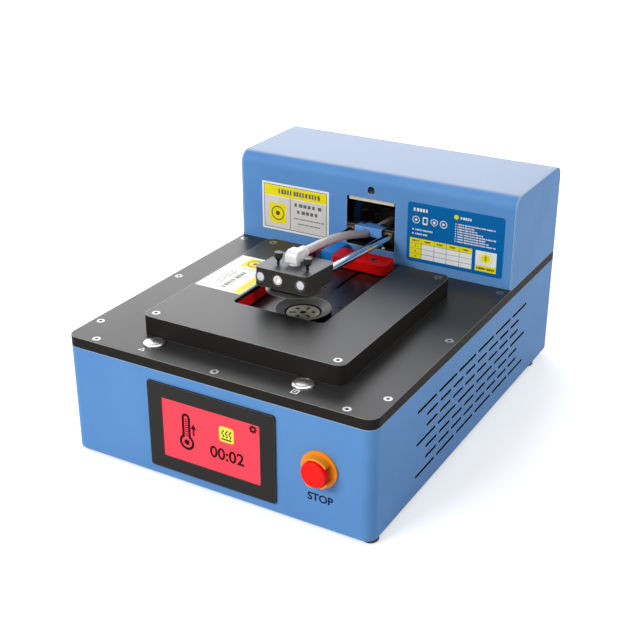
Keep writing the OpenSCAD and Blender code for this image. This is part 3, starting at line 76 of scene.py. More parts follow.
# %% [markdown]
# ## Colours and nodes
# Paint and plastic colours are read as sRGB hex values, as a picture editor shows them, while
# Blender's shaders count light in linear values. One function turns the first into the second,
# and one function adds a shader node with its settings and its links.
# %% Two helpers for every finish
def linear(hex_colour):
    channels = [int(hex_colour[i:i + 2], 16) / 255 for i in (1, 3, 5)]
    return (*[c / 12.92 if c <= 0.04045 else ((c + 0.055) / 1.055) ** 2.4 for c in channels], 1.0)


def add(tree, kind, inputs=None, **settings):
    made = tree.nodes.new("ShaderNode" + kind)
    for name, value in settings.items():
        setattr(made, name, value)
    for name, value in (inputs or {}).items():
        if isinstance(value, bpy.types.NodeSocket):
            tree.links.new(value, made.inputs[name])
        else:
            made.inputs[name].default_value = value
    return made


print("a middle grey of #808080 sends back", round(linear("#808080")[0], 3), "of the light")

# %% [markdown]
# ## The recipe that the finishes share
# A real surface is never one number. Each finish here starts from where a point lies on the
# machine, in metres, so that a grain of 1 mm stays 1 mm on every piece. A fine noise gives the
# grain, a coarse one the cloudy difference in colour, and a small bevel in the shader rounds
# the edges for the light. A finish given an edge colour gets it painted along its edges: a
# paler one is a painted highlight for the light that edges catch, and the stop head's darker
# one is painted shade. A noise node's values crowd around one half, so the spans below stretch
# them out to a full mix. Painted pictures would need an unwrapped mesh for each piece, and
# nodes need none.
# %% One recipe, many finishes
FACTOR, COLOUR_A, COLOUR_B, COLOUR_OUT = 0, 6, 7, 2
GRAIN_DETAIL, GRAIN_SPAN = 2.0, {"From Min": 0.3, "From Max": 0.7}
CLOUD_DETAIL, CLOUD_SPAN = 3.0, {"From Min": 0.35, "From Max": 0.65}
BEVEL_SAMPLES, PAINTED_EDGE_SPAN = 4, {"From Min": 0.995, "From Max": 0.9, "To Max": 0.75}


def surface(name, colour, cloud, rough, grain_mm, depth_mm, cloud_mm=30.0, edge=None,
            edge_mm=0.5, rough_spread=0.06, **settings):
    material = bpy.data.materials.new(name)
    material.use_nodes = True
    tree = material.node_tree
    tree.nodes.clear()
    place = add(tree, "TexCoord").outputs["Object"]
    grain = add(tree, "TexNoise", {"Vector": place, "Scale": 1 / (grain_mm * MM),
                                   "Detail": GRAIN_DETAIL}).outputs[0]
    clouds = add(tree, "TexNoise", {"Vector": place, "Scale": 1 / (cloud_mm * MM),
                                    "Detail": CLOUD_DETAIL}).outputs[0]
    cloudy = add(tree, "MapRange", {"Value": clouds, **CLOUD_SPAN}).outputs[0]
    paint = add(tree, "Mix", {FACTOR: cloudy, COLOUR_A: linear(colour), COLOUR_B: linear(cloud)},
                data_type="RGBA").outputs[COLOUR_OUT]
    rounded = add(tree, "Bevel", {"Radius": edge_mm * MM}, samples=BEVEL_SAMPLES).outputs[0]
    painted_edge = None
    # An edge colour is painted light: a paler one is a painted highlight, a darker one painted
    # shade.
    if edge:
        true = add(tree, "NewGeometry").outputs["Normal"]
        agree = add(tree, "VectorMath", {0: rounded, 1: true}, operation="DOT_PRODUCT")
        painted_edge = add(tree, "MapRange", {"Value": agree.outputs["Value"], **PAINTED_EDGE_SPAN}).outputs[0]
        paint = add(tree, "Mix", {FACTOR: painted_edge, COLOUR_A: paint, COLOUR_B: linear(edge)},
                    data_type="RGBA").outputs[COLOUR_OUT]
    bump = add(tree, "Bump", {"Height": grain, "Distance": depth_mm * MM, "Normal": rounded,
                              "Strength": 1.0}).outputs[0]
    uneven = add(tree, "MapRange", {"Value": grain, **GRAIN_SPAN, "To Min": rough - rough_spread,
                                    "To Max": rough + rough_spread}).outputs[0]
    shader = add(tree, "BsdfPrincipled", {"Base Color": paint, "Normal": bump,
                                          "Roughness": uneven})
    for setting, value in settings.items():
        shader.inputs[setting.replace("_", " ")].default_value = value
    add(tree, "OutputMaterial", {"Surface": shader.outputs[0]})
    return {"material": material, "tree": tree, "place": place, "paint": paint,
            "clouds": clouds, "shader": shader, "painted_edge": painted_edge}


# %% [markdown]
# ## Hoses
# The vacuum goes from the cup's elbow back along the arm in a polyurethane hose, and from the
# arm's hollow shaft down to the valve in a second one. A hose is a fixed length of something
# flexible, so each is one curve through the points that the CAD solid follows, with a bevel
# for its diameter. The first ends in the arm's shaft, the second at the valve. All is in mm.
# %% The points that both hoses follow
ARM_PIVOT = (0.0, 159.75, 139.6)
ARM_TILT = math.radians(4.2)
ARM_HOSE = [
    (0, 209, 16.3), (0, 202.1, 16.25), (0, 196, 16.1), (0, 189.7, 15.95), (-0.1, 182.4, 15.75),
    (-0.2, 175.1, 15.5), (-0.3, 167.6, 15.1), (-0.4, 160.1, 14.6), (-0.6, 152.4, 14.05),
    (-0.8, 144.7, 13.4), (-1, 135.8, 12.2), (-1.2, 126.9, 10.6), (-1.5, 116.6, 8.75),
    (-1.7, 106.4, 6.6), (-1.9, 99, 4.95), (-2.1, 91.5, 3.3), (-2.3, 85.6, 1.75),
    (-2.4, 79.8, 0.55), (-2.4, 75, 0.05), (-2.4, 68, 0), (-2.4, 60, 0), (-2.4, 50, -0.2),
    (-2.4, 40, -0.2), (-2.4, 31, 0), (-2.4, 22, 0), (-2.4, 16, 0)]
UNION_BARB = (-60.5, 159.75, 121.6)
INNER_HOSE = [
    (0, 0, 0), (0, 0, -4), (-0.5, 0, -9), (-2.5, 0, -15), (-6, 0.5, -22), (-9, 1, -30),
    (-11, 1, -38), (-12, 0, -46.5), (-12, -1, -55), (-10.5, -1, -63.5), (-7, -1, -72),
    (-1, -1, -79.7), (7, -1, -86.5), (17, -1, -91.9), (28, -0.5, -95.9), (40, 0, -98.9),
    (52, 0, -100.9), (64, 0, -102.4), (76, 0, -103.3), (88, 0, -103.6), (98, 0, -103.6),
    (106.2, 0, -103.6)]


def arm_point(x, forward, height):
    """A point of the parked arm: sideways, forward of its pivot and above the rods, in mm."""
    return Vector((ARM_PIVOT[0] + x,
                   ARM_PIVOT[1] - forward * math.cos(ARM_TILT) + height * math.sin(ARM_TILT),
                   ARM_PIVOT[2] + forward * math.sin(ARM_TILT) + height * math.cos(ARM_TILT))) * MM


# %% [markdown]
# ## From points to a hose
# A hose could be a mesh bent by hand. A curve with a round bevel is simpler, because its points
# are the route and its bevel is the diameter.
# %% One curve for each hose
ARM_HOSE_R = 4.0
INNER_HOSE_R = 3.6
HOSE_BEVEL_STEPS = 6


def hose(name, route, radius_mm, body, solid, finish):
    curve = bpy.data.curves.new(name, "CURVE")
    curve.dimensions = "3D"
    spline = curve.splines.new("POLY")
    spline.points.add(len(route) - 1)
    for knot, point in zip(spline.points, route):
        knot.co = (*point, 1.0)
    spline.use_smooth = True
    curve.bevel_depth = radius_mm * MM
    curve.bevel_resolution = HOSE_BEVEL_STEPS
    curve.use_fill_caps = True
    curve.materials.append(finish["material"])
    piece = bpy.data.objects.new(name, curve)
    collection.objects.link(piece)
    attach(piece, body)
    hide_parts(solid)


def eased(route, steps=4):
    """The same route with more points on it, so that its bends are round."""
    out = []
    for i in range(len(route) - 1):
        before, a, b, after = (route[max(i - 1, 0)], route[i], route[i + 1],
                               route[min(i + 2, len(route) - 1)])
        for k in range(steps):
            t = k / steps
            out.append(0.5 * (2 * a + (b - before) * t + (2 * before - 5 * a + 4 * b - after)
                              * t * t + (3 * a - before - 3 * b + after) * t ** 3))
    return out + [route[-1]]


# %% [markdown]
# ## What the hoses are made of
# The hoses are extruded polyurethane: milky, with a soft shine and hardly any texture. Light
# that scatters inside the wall softens the shadow side. The one inside the machine is painted a
# dark navy instead, painted shade for the dim inside of the housing.
# %% Extruded polyurethane
polyurethane = surface("extruded_polyurethane", "#B9B1AC", "#AFA8A4", 0.3, 3.0, 0.002,
                       cloud_mm=40, rough_spread=0.02, edge_mm=0.1, Subsurface_Weight=0.2,
                       Subsurface_Scale=0.003, Coat_Weight=0.25)
hose("arm_hose", eased([arm_point(*p) for p in ARM_HOSE]), ARM_HOSE_R, "arm", "vacuum_hose",
     polyurethane)
# Its dark navy colour is painted shade.
shaded_inner_tube = surface("polyurethane_painted_shade", "#1B2233", "#171D2B", 0.35, 3.0, 0.002,
                      cloud_mm=40, rough_spread=0.02, edge_mm=0.1, Coat_Weight=0.2)
hose("valve_hose", eased([(Vector(UNION_BARB) + Vector(p)) * MM for p in INNER_HOSE]),
     INNER_HOSE_R, "machine", "inner_hose", shaded_inner_tube)

# %% [markdown]
# ## Painted steel
# The casing and the rear housing are folded sheet steel with a baked powder coat. The powder
# melts into a skin with a faint orange peel, about 2 mm from hill to hill, which breaks up the
# reflections. Along the folds the coat is thinner, and its paler edge colour there is a painted
# highlight for the light that the folds catch. The arm's cradle and hose bracket have a
# brighter, glossier blue coat.
# %% Powder coat
def dress(finish, *names):
    for name in names:
        slots = solids[name].data.materials
        slots.clear()
        slots.append(finish["material"])
    print(finish["material"].name, "on", ", ".join(names))


powder_coat = surface("powder_coat_blue", "#6093CC", "#5A8DC8", 0.42, 2.0, 0.006, cloud_mm=60,
                      edge="#C8E2FC", edge_mm=1.2, Specular_IOR_Level=0.07)
gloss_coat = surface("gloss_coat_blue", "#5A97DC", "#4F8CD6", 0.3, 2.0, 0.002, cloud_mm=20,
                     edge="#B5D4F5", edge_mm=0.4, Coat_Weight=0.25)
dress(powder_coat, "base_casing", "rear_panel", "housing_wrap", "housing_caps")
dress(gloss_coat, "hose_bracket", "arm_cradle")

# %% [markdown]
# ## Painted sheen on the tops, painted shade in the slots
# What faces up is painted paler, a painted sheen for the bright room that the tops mirror. The
# walls of the slots in the sides, 1.5 mm deep, are painted near black: painted shade inside the
# slots. The steel could be cut into pieces for that. A mask is simpler: a value from 0 to 1,
# worked out from the piece's own normal or from the place, that lays a second colour over the
# first. The slots' walls are found near either side, in the field of slots, where a face
# doesn't look outward. Places are in metres.
# %% A second colour where a mask is 1
TOP_SHEEN_SPAN = {"From Min": 0.9, "From Max": 0.985}
OUTWARD_SPAN = {"From Min": 0.4, "From Max": 0.6, "To Min": 1, "To Max": 0}
WALL_FROM, WALL_TO = 0.1484, 1
FIELD_FRONT, FIELD_REAR = -0.17, 0.195
FIELD_LOW, FIELD_HIGH = 0.013, 0.096


def normal_of(tree):
    """The piece's own normal, split into X, Y and Z."""
    normal = add(tree, "TexCoord").outputs["Normal"]
    return add(tree, "SeparateXYZ", {"Vector": normal}).outputs


def within(tree, value, low, high, soft=0.0005):
    """1 between low and high, 0 outside."""
    above = add(tree, "MapRange", {"Value": value, "From Min": low - soft, "From Max": low})
    below = add(tree, "MapRange", {"Value": value, "From Min": high, "From Max": high + soft,
                                   "To Min": 1, "To Max": 0})
    return add(tree, "Math", {0: above.outputs[0], 1: below.outputs[0]},
               operation="MULTIPLY").outputs[0]


def paint_over(finish, mask, colour):
    """Lay a second colour over a finish where the mask is 1."""
    tree = finish["tree"]
    finish["paint"] = add(tree, "Mix", {FACTOR: mask, COLOUR_A: finish["paint"],
                                        COLOUR_B: colour}, data_type="RGBA").outputs[COLOUR_OUT]
    tree.links.new(finish["paint"], finish["shader"].inputs["Base Color"])


coat_tree = powder_coat["tree"]
coat_normal = normal_of(coat_tree)
# Up-facing faces get a paler colour, a painted sheen.
painted_top_sheen = add(coat_tree, "MapRange", {"Value": coat_normal["Z"], **TOP_SHEEN_SPAN}).outputs[0]
paint_over(powder_coat, painted_top_sheen, linear("#93A5C2"))
where = add(coat_tree, "SeparateXYZ", {"Vector": powder_coat["place"]}).outputs
sideways = add(coat_tree, "Math", {0: where["X"]}, operation="ABSOLUTE").outputs[0]
outward = add(coat_tree, "Math", {0: coat_normal["X"]}, operation="ABSOLUTE").outputs[0]
# The slot walls' near-black navy colour is painted shade.
painted_slot_shade = add(coat_tree, "MapRange", {"Value": outward, **OUTWARD_SPAN}).outputs[0]
for mask in (within(coat_tree, sideways, WALL_FROM, WALL_TO),
             within(coat_tree, where["Y"], FIELD_FRONT, FIELD_REAR),
             within(coat_tree, where["Z"], FIELD_LOW, FIELD_HIGH)):
    painted_slot_shade = add(coat_tree, "Math", {0: painted_slot_shade, 1: mask}, operation="MULTIPLY").outputs[0]
paint_over(powder_coat, painted_slot_shade, linear("#070D1E"))
print(len(coat_tree.nodes), "nodes make the powder coat")

# %% [markdown]
# ## Black anodised plates
# The deck, the platform, the bed and the arm's blocks are aluminium, blasted and black
# anodised. Handling has polished their tops, which mirror the room softly as metal in the
# shader, while their sawn sides stay matt. Their grey top colour is a painted sheen, and the
# almost black colour of the sides is painted shade. The way a face looks decides which it is,
# by the piece's own normal, so it stays right as the arm moves. The edges are painted paler, a
# painted highlight, save on the bed, whose edge colour is as dark as its sides.
# %% Black anodised aluminium
TOP_SPAN = {"From Min": 0.55, "From Max": 0.95}
HANDLED_SPAN, HANDLED_SHARE = {"From Min": 0.3, "From Max": 0.7}, 0.88


def anodised(name, top, side, rough, depth_mm=0.0015, spread=0.02, metal=1.0, rim="#A6A6A4"):
    finish = surface(name, top, top, rough, 1.2, depth_mm, cloud_mm=45, rough_spread=spread,
                     edge=rim, edge_mm=0.8, Specular_IOR_Level=0.02)
    tree = finish["tree"]
    darker = (*[HANDLED_SHARE * c for c in linear(top)[:3]], 1.0)
    touched = add(tree, "MapRange", {"Value": finish["clouds"], **HANDLED_SPAN}).outputs[0]
    top_sheen_and_handling = add(tree, "Mix", {FACTOR: touched, COLOUR_A: linear(top), COLOUR_B: darker},
                  data_type="RGBA").outputs[COLOUR_OUT]
    upward = add(tree, "MapRange", {"Value": normal_of(tree)["Z"], **TOP_SPAN}).outputs[0]
    shiny = add(tree, "MapRange", {"Value": upward, "To Max": metal}).outputs[0]
    tree.links.new(shiny, finish["shader"].inputs["Metallic"])
    # The side colour is painted shade, and the top colour laid over it is painted sheen.
    finish["paint"] = linear(side)
    paint_over(finish, upward, top_sheen_and_handling)
    # Paler edges are a painted highlight; on the bed the edge colour stays dark.
    paint_over(finish, finish["painted_edge"], linear(rim))
    return finish


deck_black = anodised("black_anodised_deck", "#424243", "#282623", 0.38, metal=0.6)
plate_black = anodised("black_anodised_plate", "#353536", "#242220", 0.4)
arm_black = anodised("black_anodised_arm", "#55565A", "#34322F", 0.48)
bed_black = anodised("black_polished_bed", "#363438", "#151414", 0.27, depth_mm=0.0002,
                     spread=0.004, rim="#121111")
dress(deck_black, "deck_plate")
dress(plate_black, "platform_frame")
dress(arm_black, "head_block", "arm_carrier", "arm_yoke")
dress(bed_black, "bed_plate")

# %% [markdown]
# ## Red and blue clamps
# The clamps are aluminium too, dyed while they were anodised. The dye sits in the oxide skin
# and hides the metal below, so they show one deep, even colour with a soft shine.
# %% Dyed anodising
red_dye = surface("red_anodised", "#DC0500", "#D20400", 0.42, 0.6, 0.003, cloud_mm=20,
                  edge="#D83A30", edge_mm=0.5, Specular_IOR_Level=0.2)
blue_dye = surface("blue_anodised", "#1B7CC8", "#1874BE", 0.4, 0.6, 0.002, cloud_mm=20,
                   edge_mm=0.4, Specular_IOR_Level=0.25)
dress(red_dye, "side_clamp_bar", "rear_clamp_block")
dress(blue_dye, "corner_block")

# %% [markdown]
# ## Bright metals
# Screws are zinc plated, the rods are ground and chromed, the buttons are turned stainless
# steel. All but the motor's enamel keep the shader's metal reflection, in full or in part, and
# the colour of that reflection is what tells one metal from another.
# %% Zinc, chrome, stainless steel, brass and oxide
GROUND_ROUGH = 0.14
zinc = surface("zinc_plated_steel", "#8E9092", "#838587", 0.3, 0.5, 0.004, Metallic=1.0,
               edge_mm=0.15)
chrome = surface("ground_chrome", "#DFE3E8", "#D6DBE1", GROUND_ROUGH, 0.6, 0.0001, edge_mm=0.2,
                 Metallic=1.0)
stainless = surface("turned_stainless_steel", "#F0EFED", "#E6E5E3", 0.3, 0.35, 0.002,
                    edge_mm=0.3, Metallic=1.0)
brass = surface("dull_brass", "#5A5234", "#4A442D", 0.45, 0.6, 0.004, cloud_mm=8, edge_mm=0.3,
                Metallic=0.7)
oxide = surface("black_oxide_steel", "#1E1D1E", "#171717", 0.4, 0.5, 0.004, cloud_mm=10,
                edge="#6A6866", edge_mm=0.25, Metallic=0.6)
nickel = surface("dull_nickel", "#5C5A4E", "#504E44", 0.4, 0.5, 0.004, cloud_mm=9,
                 edge="#8E8C80", edge_mm=0.3, Metallic=0.9)
galvanised = surface("galvanised_sheet", "#B9BCC0", "#A4A8AD", 0.38, 3.0, 0.006, cloud_mm=12,
                     edge_mm=0.3, Metallic=1.0)
motor_enamel = surface("grey_motor_enamel", "#5C5F64", "#515459", 0.4, 1.2, 0.01, cloud_mm=20,
                       edge="#8C8F94", edge_mm=0.5)
dress(zinc, "case_screws", "countersunk_screws", "temperature_probe", "pivot_bearings",
      "pivot_shaft")
dress(chrome, "guide_rods", "side_clamp_pins")
dress(stainless, "button_bodies", "button_cap_left", "button_cap_right")
dress(brass, "rotary_union", "rod_flanges", "cup_stem")
dress(oxide, "thumb_screw_left", "thumb_screw_right", "rear_clamp_slide")
dress(nickel, "lower_cup_disc")
dress(galvanised, "bottom_plate", "bed_tray", "power_supply")
dress(motor_enamel, "gear_motor", "solenoid_valve")

# %% [markdown]
# ## Sawn ends and dark navy screws
# The rods are polished along their length and sawn dull at their ends, which look forward. The
# arm's own screws are one node in the model: bright in the head's face, and painted dark navy
# on the bracket far behind it. Both differences are masks again, one from the normal and one
# from the place along the machine.
# %% Two more masks
SAWN_ROUGH = 0.5
END_SPAN = {"From Min": -0.9, "From Max": -0.97, "To Min": GROUND_ROUGH, "To Max": SAWN_ROUGH}
BRACKET_SPAN = {"From Min": 0.05, "From Max": 0.06}
rod_rough = add(chrome["tree"], "MapRange", {"Value": normal_of(chrome["tree"])["Y"],
                                             **END_SPAN}).outputs[0]
chrome["tree"].links.new(rod_rough, chrome["shader"].inputs["Roughness"])
screw_mix = surface("screws_bright_and_dark_navy", "#ECECEB", "#E2E2E1", 0.4, 0.5, 0.003,
                    edge_mm=0.15, Metallic=1.0)
along = add(screw_mix["tree"], "SeparateXYZ", {"Vector": screw_mix["place"]}).outputs["Y"]
far_back = add(screw_mix["tree"], "MapRange", {"Value": along, **BRACKET_SPAN}).outputs[0]
paint_over(screw_mix, far_back, linear("#2E3A50"))
dress(screw_mix, "arm_screws")

# %% [markdown]
# ## Plastics
# Moulded housings have a fine spark-eroded texture that kills the shine. The stop's head and
# guard are smoother and bright, so that they stand out, and nylon lets a little light in.
# %% Moulded and extruded plastics
black_abs = surface("moulded_black_ABS", "#232324", "#1D1D1E", 0.48, 0.4, 0.01, cloud_mm=25,
                    edge="#4A4A4B", edge_mm=0.3)
bezel_abs = surface("moulded_bezel_ABS", "#1D1C1A", "#1A1917", 0.5, 0.4, 0.004, cloud_mm=40,
                    edge="#6E6C68", edge_mm=0.7, Specular_IOR_Level=0.2)
# Its darker edge colour is painted shade on the head's rounded rim.
stop_red = surface("glossy_red_ABS", "#FF0F0A", "#F70C08", 0.4, 1.5, 0.002, cloud_mm=12,
                   edge="#C8101A", edge_mm=1.2, Specular_IOR_Level=0.2)
guard_yellow = surface("glossy_orange_ABS", "#F7960E", "#F2900C", 0.36, 1.5, 0.004, cloud_mm=12,
                       edge="#FFC070", edge_mm=0.35, Specular_IOR_Level=0.35)
white_nylon = surface("moulded_white_nylon", "#D9D9D8", "#D0D0CF", 0.36, 1.0, 0.006, cloud_mm=10,
                      edge="#F2F2F0", edge_mm=0.3, Subsurface_Weight=0.15,
                      Subsurface_Scale=0.002)
beige_strip = surface("extruded_beige_strip", "#DDD0BC", "#CFC2AE", 0.45, 0.8, 0.015,
                      cloud_mm=9, edge="#F5ECDD", edge_mm=0.3)
red_rocker = surface("glossy_rocker_red", "#C8140F", "#B8100C", 0.22, 1.0, 0.004, edge_mm=0.4)
dress(black_abs, "stop_body", "vacuum_pump", "fan_frame", "fan_rotor", "power_inlet")
dress(bezel_abs, "display_bezel")
dress(stop_red, "stop_head")
dress(guard_yellow, "stop_guard")
dress(white_nylon, "elbow_fitting", "down_stop")
dress(beige_strip, "opening_strip")
dress(red_rocker, "rocker")

# %% [markdown]
# ## Rubber, ceramic, film, glass and board
# The cups' silicone has a soft shine, and the feet's rubber is dull. The heated bed rests on
# unglazed ceramic, warmed by an amber film, and the control board has its green mask. These
# three lie inside, and still get their own finish, for a view through the slots. The sensor's
# lens is dark glass.
# %% The softer and the hidden pieces
cup_rubber = surface("moulded_silicone_rubber", "#3C3B39", "#343331", 0.36, 1.0, 0.0005,
                     rough_spread=0.01, cloud_mm=14, edge="#8C8A86", edge_mm=0.35)
foot_rubber = surface("moulded_foot_rubber", "#1B1B1D", "#151517", 0.6, 0.8, 0.02, edge_mm=0.3)
ceramic = surface("unglazed_ceramic", "#E4DFD0", "#D6D0BF", 0.6, 0.5, 0.02, edge_mm=0.3)
heater_film = surface("amber_polyimide_film", "#B5671A", "#9A5414", 0.25, 2.5, 0.02, cloud_mm=8,
                      edge_mm=0.2, Coat_Weight=0.3)
lens_glass = surface("dark_lens_glass", "#0A1430", "#081028", 0.3, 1.0, 0.001, edge_mm=0.2,
                     Specular_IOR_Level=0.3)
solder_mask = surface("green_solder_mask", "#12532C", "#0E4524", 0.3, 0.8, 0.01, cloud_mm=6,
                      edge="#C8A850", edge_mm=0.2, Coat_Weight=0.2)
dress(cup_rubber, "lower_cup", "upper_cup")
dress(foot_rubber, "feet")
dress(ceramic, "bed_spacers")
dress(heater_film, "heater_mat")
dress(lens_glass, "sensor_lens")
dress(solder_mask, "control_board")

# %% [markdown]
# ## The lit screen
# The operator screen glows coral all over, behind a matt cover sheet that hardly mirrors the
# room. A lamp behind a clear sheet would be nearer to the real one. A glow in the shader looks
# the same from outside, and needs no lamp.
# %% Backlit display
backlit = surface("backlit_display", "#D42A3E", "#D0283B", 0.5, 0.6, 0.0005, cloud_mm=50,
                  edge_mm=0.1, rough_spread=0.02, Emission_Strength=0.62,
                  Specular_IOR_Level=0.2)
backlit["shader"].inputs["Emission Color"].default_value = linear("#FF4A58")
dress(backlit, "display_panel")
print(len(bpy.data.materials), "finishes so far")

# %% [markdown]
# ## Flat shapes
# Labels, icons and letters are thin printed or cut films. A flat curve is filled between its
# loops, and a loop inside another is a hole, which is how a cutting plotter works too. So each
# shape starts as loops of points. All lengths here are millimetres.
# %% Loops for a cutter
ROUND_STEPS, CORNER_STEPS = 32, 5


def box_loop(x0, y0, x1, y1, radius=0.0, steps=CORNER_STEPS):
    corners = [(x1 - radius, y1 - radius, 0), (x0 + radius, y1 - radius, 90),
               (x0 + radius, y0 + radius, 180), (x1 - radius, y0 + radius, 270)]
    if not radius:
        return [(x1, y1), (x0, y1), (x0, y0), (x1, y0)]
    return [(cx + radius * math.cos(math.radians(start + 90 * k / steps)),
             cy + radius * math.sin(math.radians(start + 90 * k / steps)))
            for cx, cy, start in corners for k in range(steps + 1)]


def disc_loop(cx, cy, radius, steps=ROUND_STEPS):
    return [(cx + radius * math.cos(2 * math.pi * k / steps),
             cy + radius * math.sin(2 * math.pi * k / steps)) for k in range(steps)]


def stroke_loop(points, width):
    """A line of that width through the points, square at its ends."""
    sides = [[], []]
    for i, point in enumerate(points):
        a, b = Vector(points[max(i - 1, 0)]), Vector(points[min(i + 1, len(points) - 1)])
        across = Vector((a.y - b.y, b.x - a.x)).normalized() * width / 2
        sides[0].append(tuple(Vector(point) + across))
        sides[1].append(tuple(Vector(point) - across))
    return sides[0] + sides[1][::-1]


# %% [markdown]
# ## Dashes for print
# Where the real labels carry lines of print, these carry rows of plain dashes of changing
# length. A row then has the grey of print and says nothing.
# %% Rows of dashes
DASH_SHARES = [0.55 + 0.25 * share / 3 for share in (0, 3, 2, 1)]
WORD_DASHES, WORD_GAP_SHARE = 5, 1.25


def print_row(x0, x1, z, height, pitch):
    """A row of plain dashes where the real label has a line of print."""
    row, x, k = [], x0, 0
    while x + 0.5 * pitch < x1:
        wide = pitch * DASH_SHARES[k % len(DASH_SHARES)]
        row.append(box_loop(x, z, min(x + wide, x1), z + height))
        k += 1
        x += pitch * (1.0 if k % WORD_DASHES else WORD_GAP_SHARE)
    return row


def print_rows(*rows):
    """Rows of dashes, each given as its two ends, its foot, its height and its pitch."""
    return [dash for row in rows for dash in print_row(*row)]


# %% [markdown]
# ## From a loop to a film
# Each shape is given its film's thickness and turned into a mesh where it lies, sunk a little
# into its ground. A picture on a flat face would be quicker, but it blurs close up and has no
# edge for the light. Capital letters are 0.69 of the font's size.
# %% Cut a film to shape
FILM, SUNK = 0.12, 0.04
CAP_HEIGHT = 0.69
FACING = {"front": Matrix(((1, 0, 0), (0, 0, -1), (0, 1, 0))).to_4x4(),
          "top": Matrix.Identity(4),
          "arm": Matrix.Translation(ARM_PIVOT) @ Matrix((
              (1, 0, 0), (0, math.sin(ARM_TILT), -math.cos(ARM_TILT)),
              (0, math.cos(ARM_TILT), math.sin(ARM_TILT)))).to_4x4()}


def settle(name, curve, facing, at, thick, body, finish):
    curve.fill_mode = "BOTH"
    curve.extrude = thick / 2
    drawn = bpy.data.objects.new(name, curve)
    collection.objects.link(drawn)
    bpy.context.view_layer.update()
    mesh = bpy.data.meshes.new_from_object(
        drawn.evaluated_get(bpy.context.evaluated_depsgraph_get()))
    bpy.data.objects.remove(drawn)
    place = FACING[facing] @ Matrix.Translation((0, 0, at + thick / 2 - SUNK))
    mesh.transform(Matrix.Scale(MM, 4) @ place)
    mesh.materials.clear()
    mesh.materials.append(finish["material"])
    piece = bpy.data.objects.new(name, mesh)
    collection.objects.link(piece)
    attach(piece, body)
    print(name, "has", len(mesh.polygons), "faces")


def film(name, loops, facing, at, body, slot, finish, thick=FILM):
    curve = bpy.data.curves.new(name, "CURVE")
    curve.dimensions = "2D"
    for loop in loops:
        spline = curve.splines.new("POLY")
        spline.points.add(len(loop) - 1)
        for knot, (x, y) in zip(spline.points, loop):
            knot.co = (x, y, 0, 1)
        spline.use_cyclic_u = True
    settle(name, curve, facing, at, thick, body, finish)


def letters(name, words, x, y, height, facing, at, body, finish, bold):
    text = bpy.data.curves.new(name, "FONT")
    text.body = words
    text.size = height / CAP_HEIGHT
    text.offset = bold
    text.align_x = "CENTER"
    text.offset_x, text.offset_y = x, y
    settle(name, text, facing, at, FILM, body, finish)


# %% [markdown]
# ## Inks and films
# The labels are polyester films printed in flat inks: white, yellow, a deep blue and black.
# Film has a slight shine over a colour that is even, with only a little mottling from the
# printing rollers. Each further ink lies a little higher on its film, so none hides another.
# %% Printed films
FIRST_INK, SCREEN_INK, SECOND_INK, THIRD_INK, LAST_INK = 0.05, 0.06, 0.1, 0.12, 0.14


def ink(name, loops, ground, rise, slot, finish):
    """A print at some rise above its ground, which is a facing and a place."""
    facing, face = ground
    film(name, loops, facing, face + rise, "machine", slot, finish)


white_film = surface("printed_film_white", "#EFEFEE", "#E8E8E7", 0.38, 0.8, 0.002, cloud_mm=14,
                     edge_mm=0.05, Specular_IOR_Level=0.12)
grey_film = surface("printed_film_grey", "#D9D7D4", "#D2D0CD", 0.38, 0.8, 0.002, cloud_mm=14,
                    edge_mm=0.05, Specular_IOR_Level=0.12)
yellow_ink = surface("printed_film_yellow", "#F2E413", "#EBDC10", 0.36, 0.8, 0.002, cloud_mm=12,
                     edge_mm=0.05, Specular_IOR_Level=0.12)
blue_ink = surface("printed_film_blue", "#0467AC", "#0562A4", 0.3, 0.8, 0.002, cloud_mm=20,
                   edge_mm=0.05, Specular_IOR_Level=0.12)
black_ink = surface("printed_ink_black", "#2A2626", "#232020", 0.45, 0.8, 0.002, cloud_mm=8,
                    edge_mm=0.03)
faded_ink = surface("printed_ink_faded", "#6A6558", "#5F5B50", 0.45, 0.8, 0.002, cloud_mm=6,
                    edge_mm=0.03)
navy_ink = surface("printed_ink_navy", "#061A40", "#051637", 0.5, 0.8, 0.002, cloud_mm=8,
                   edge_mm=0.03, Specular_IOR_Level=0.1)
dark_pixels = surface("unlit_display_pixels", "#1C030A", "#180208", 0.5, 0.3, 0.0005, cloud_mm=9,
                      edge_mm=0.03, Specular_IOR_Level=0.1)
lit_yellow = surface("lit_display_yellow", "#C9C224", "#BDB620", 0.4, 0.3, 0.0005, cloud_mm=9,
                     edge_mm=0.03, Emission_Strength=0.35)
lit_yellow["shader"].inputs["Emission Color"].default_value = linear("#F4F05A")
print(len(bpy.data.materials), "finishes now")

# %% [markdown]
# ## Screen: the temperature
# The screen shows what such a controller shows while it heats: a thermometer with an arrow up,
# a heat mark, a gear for the settings and the minutes and seconds. They are drawn as films
# on the panel, so they stay sharp at any distance. The thermometer is a long arc around its
# bulb, closed by a half circle at the top of its tube.
# %% Draw the thermometer and its arrow
panel = -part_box("display_panel")[0][1] / MM
on_screen = ("front", panel, "machine", "screen", dark_pixels)
THERMOMETER_X, TUBE_TOP, BULB_Z = -25.0, 69.7, 46.3
TUBE_R, BULB_R, FILLING_R, LINE = 4.3, 7.5, 2.7, 2.5
MARKS, MARK_FROM, MARK_PITCH, MARK_HIGH = 9, 52.6, 1.9, 0.95
MARK_LEFT, MARK_RIGHT = -26.2, -23.6


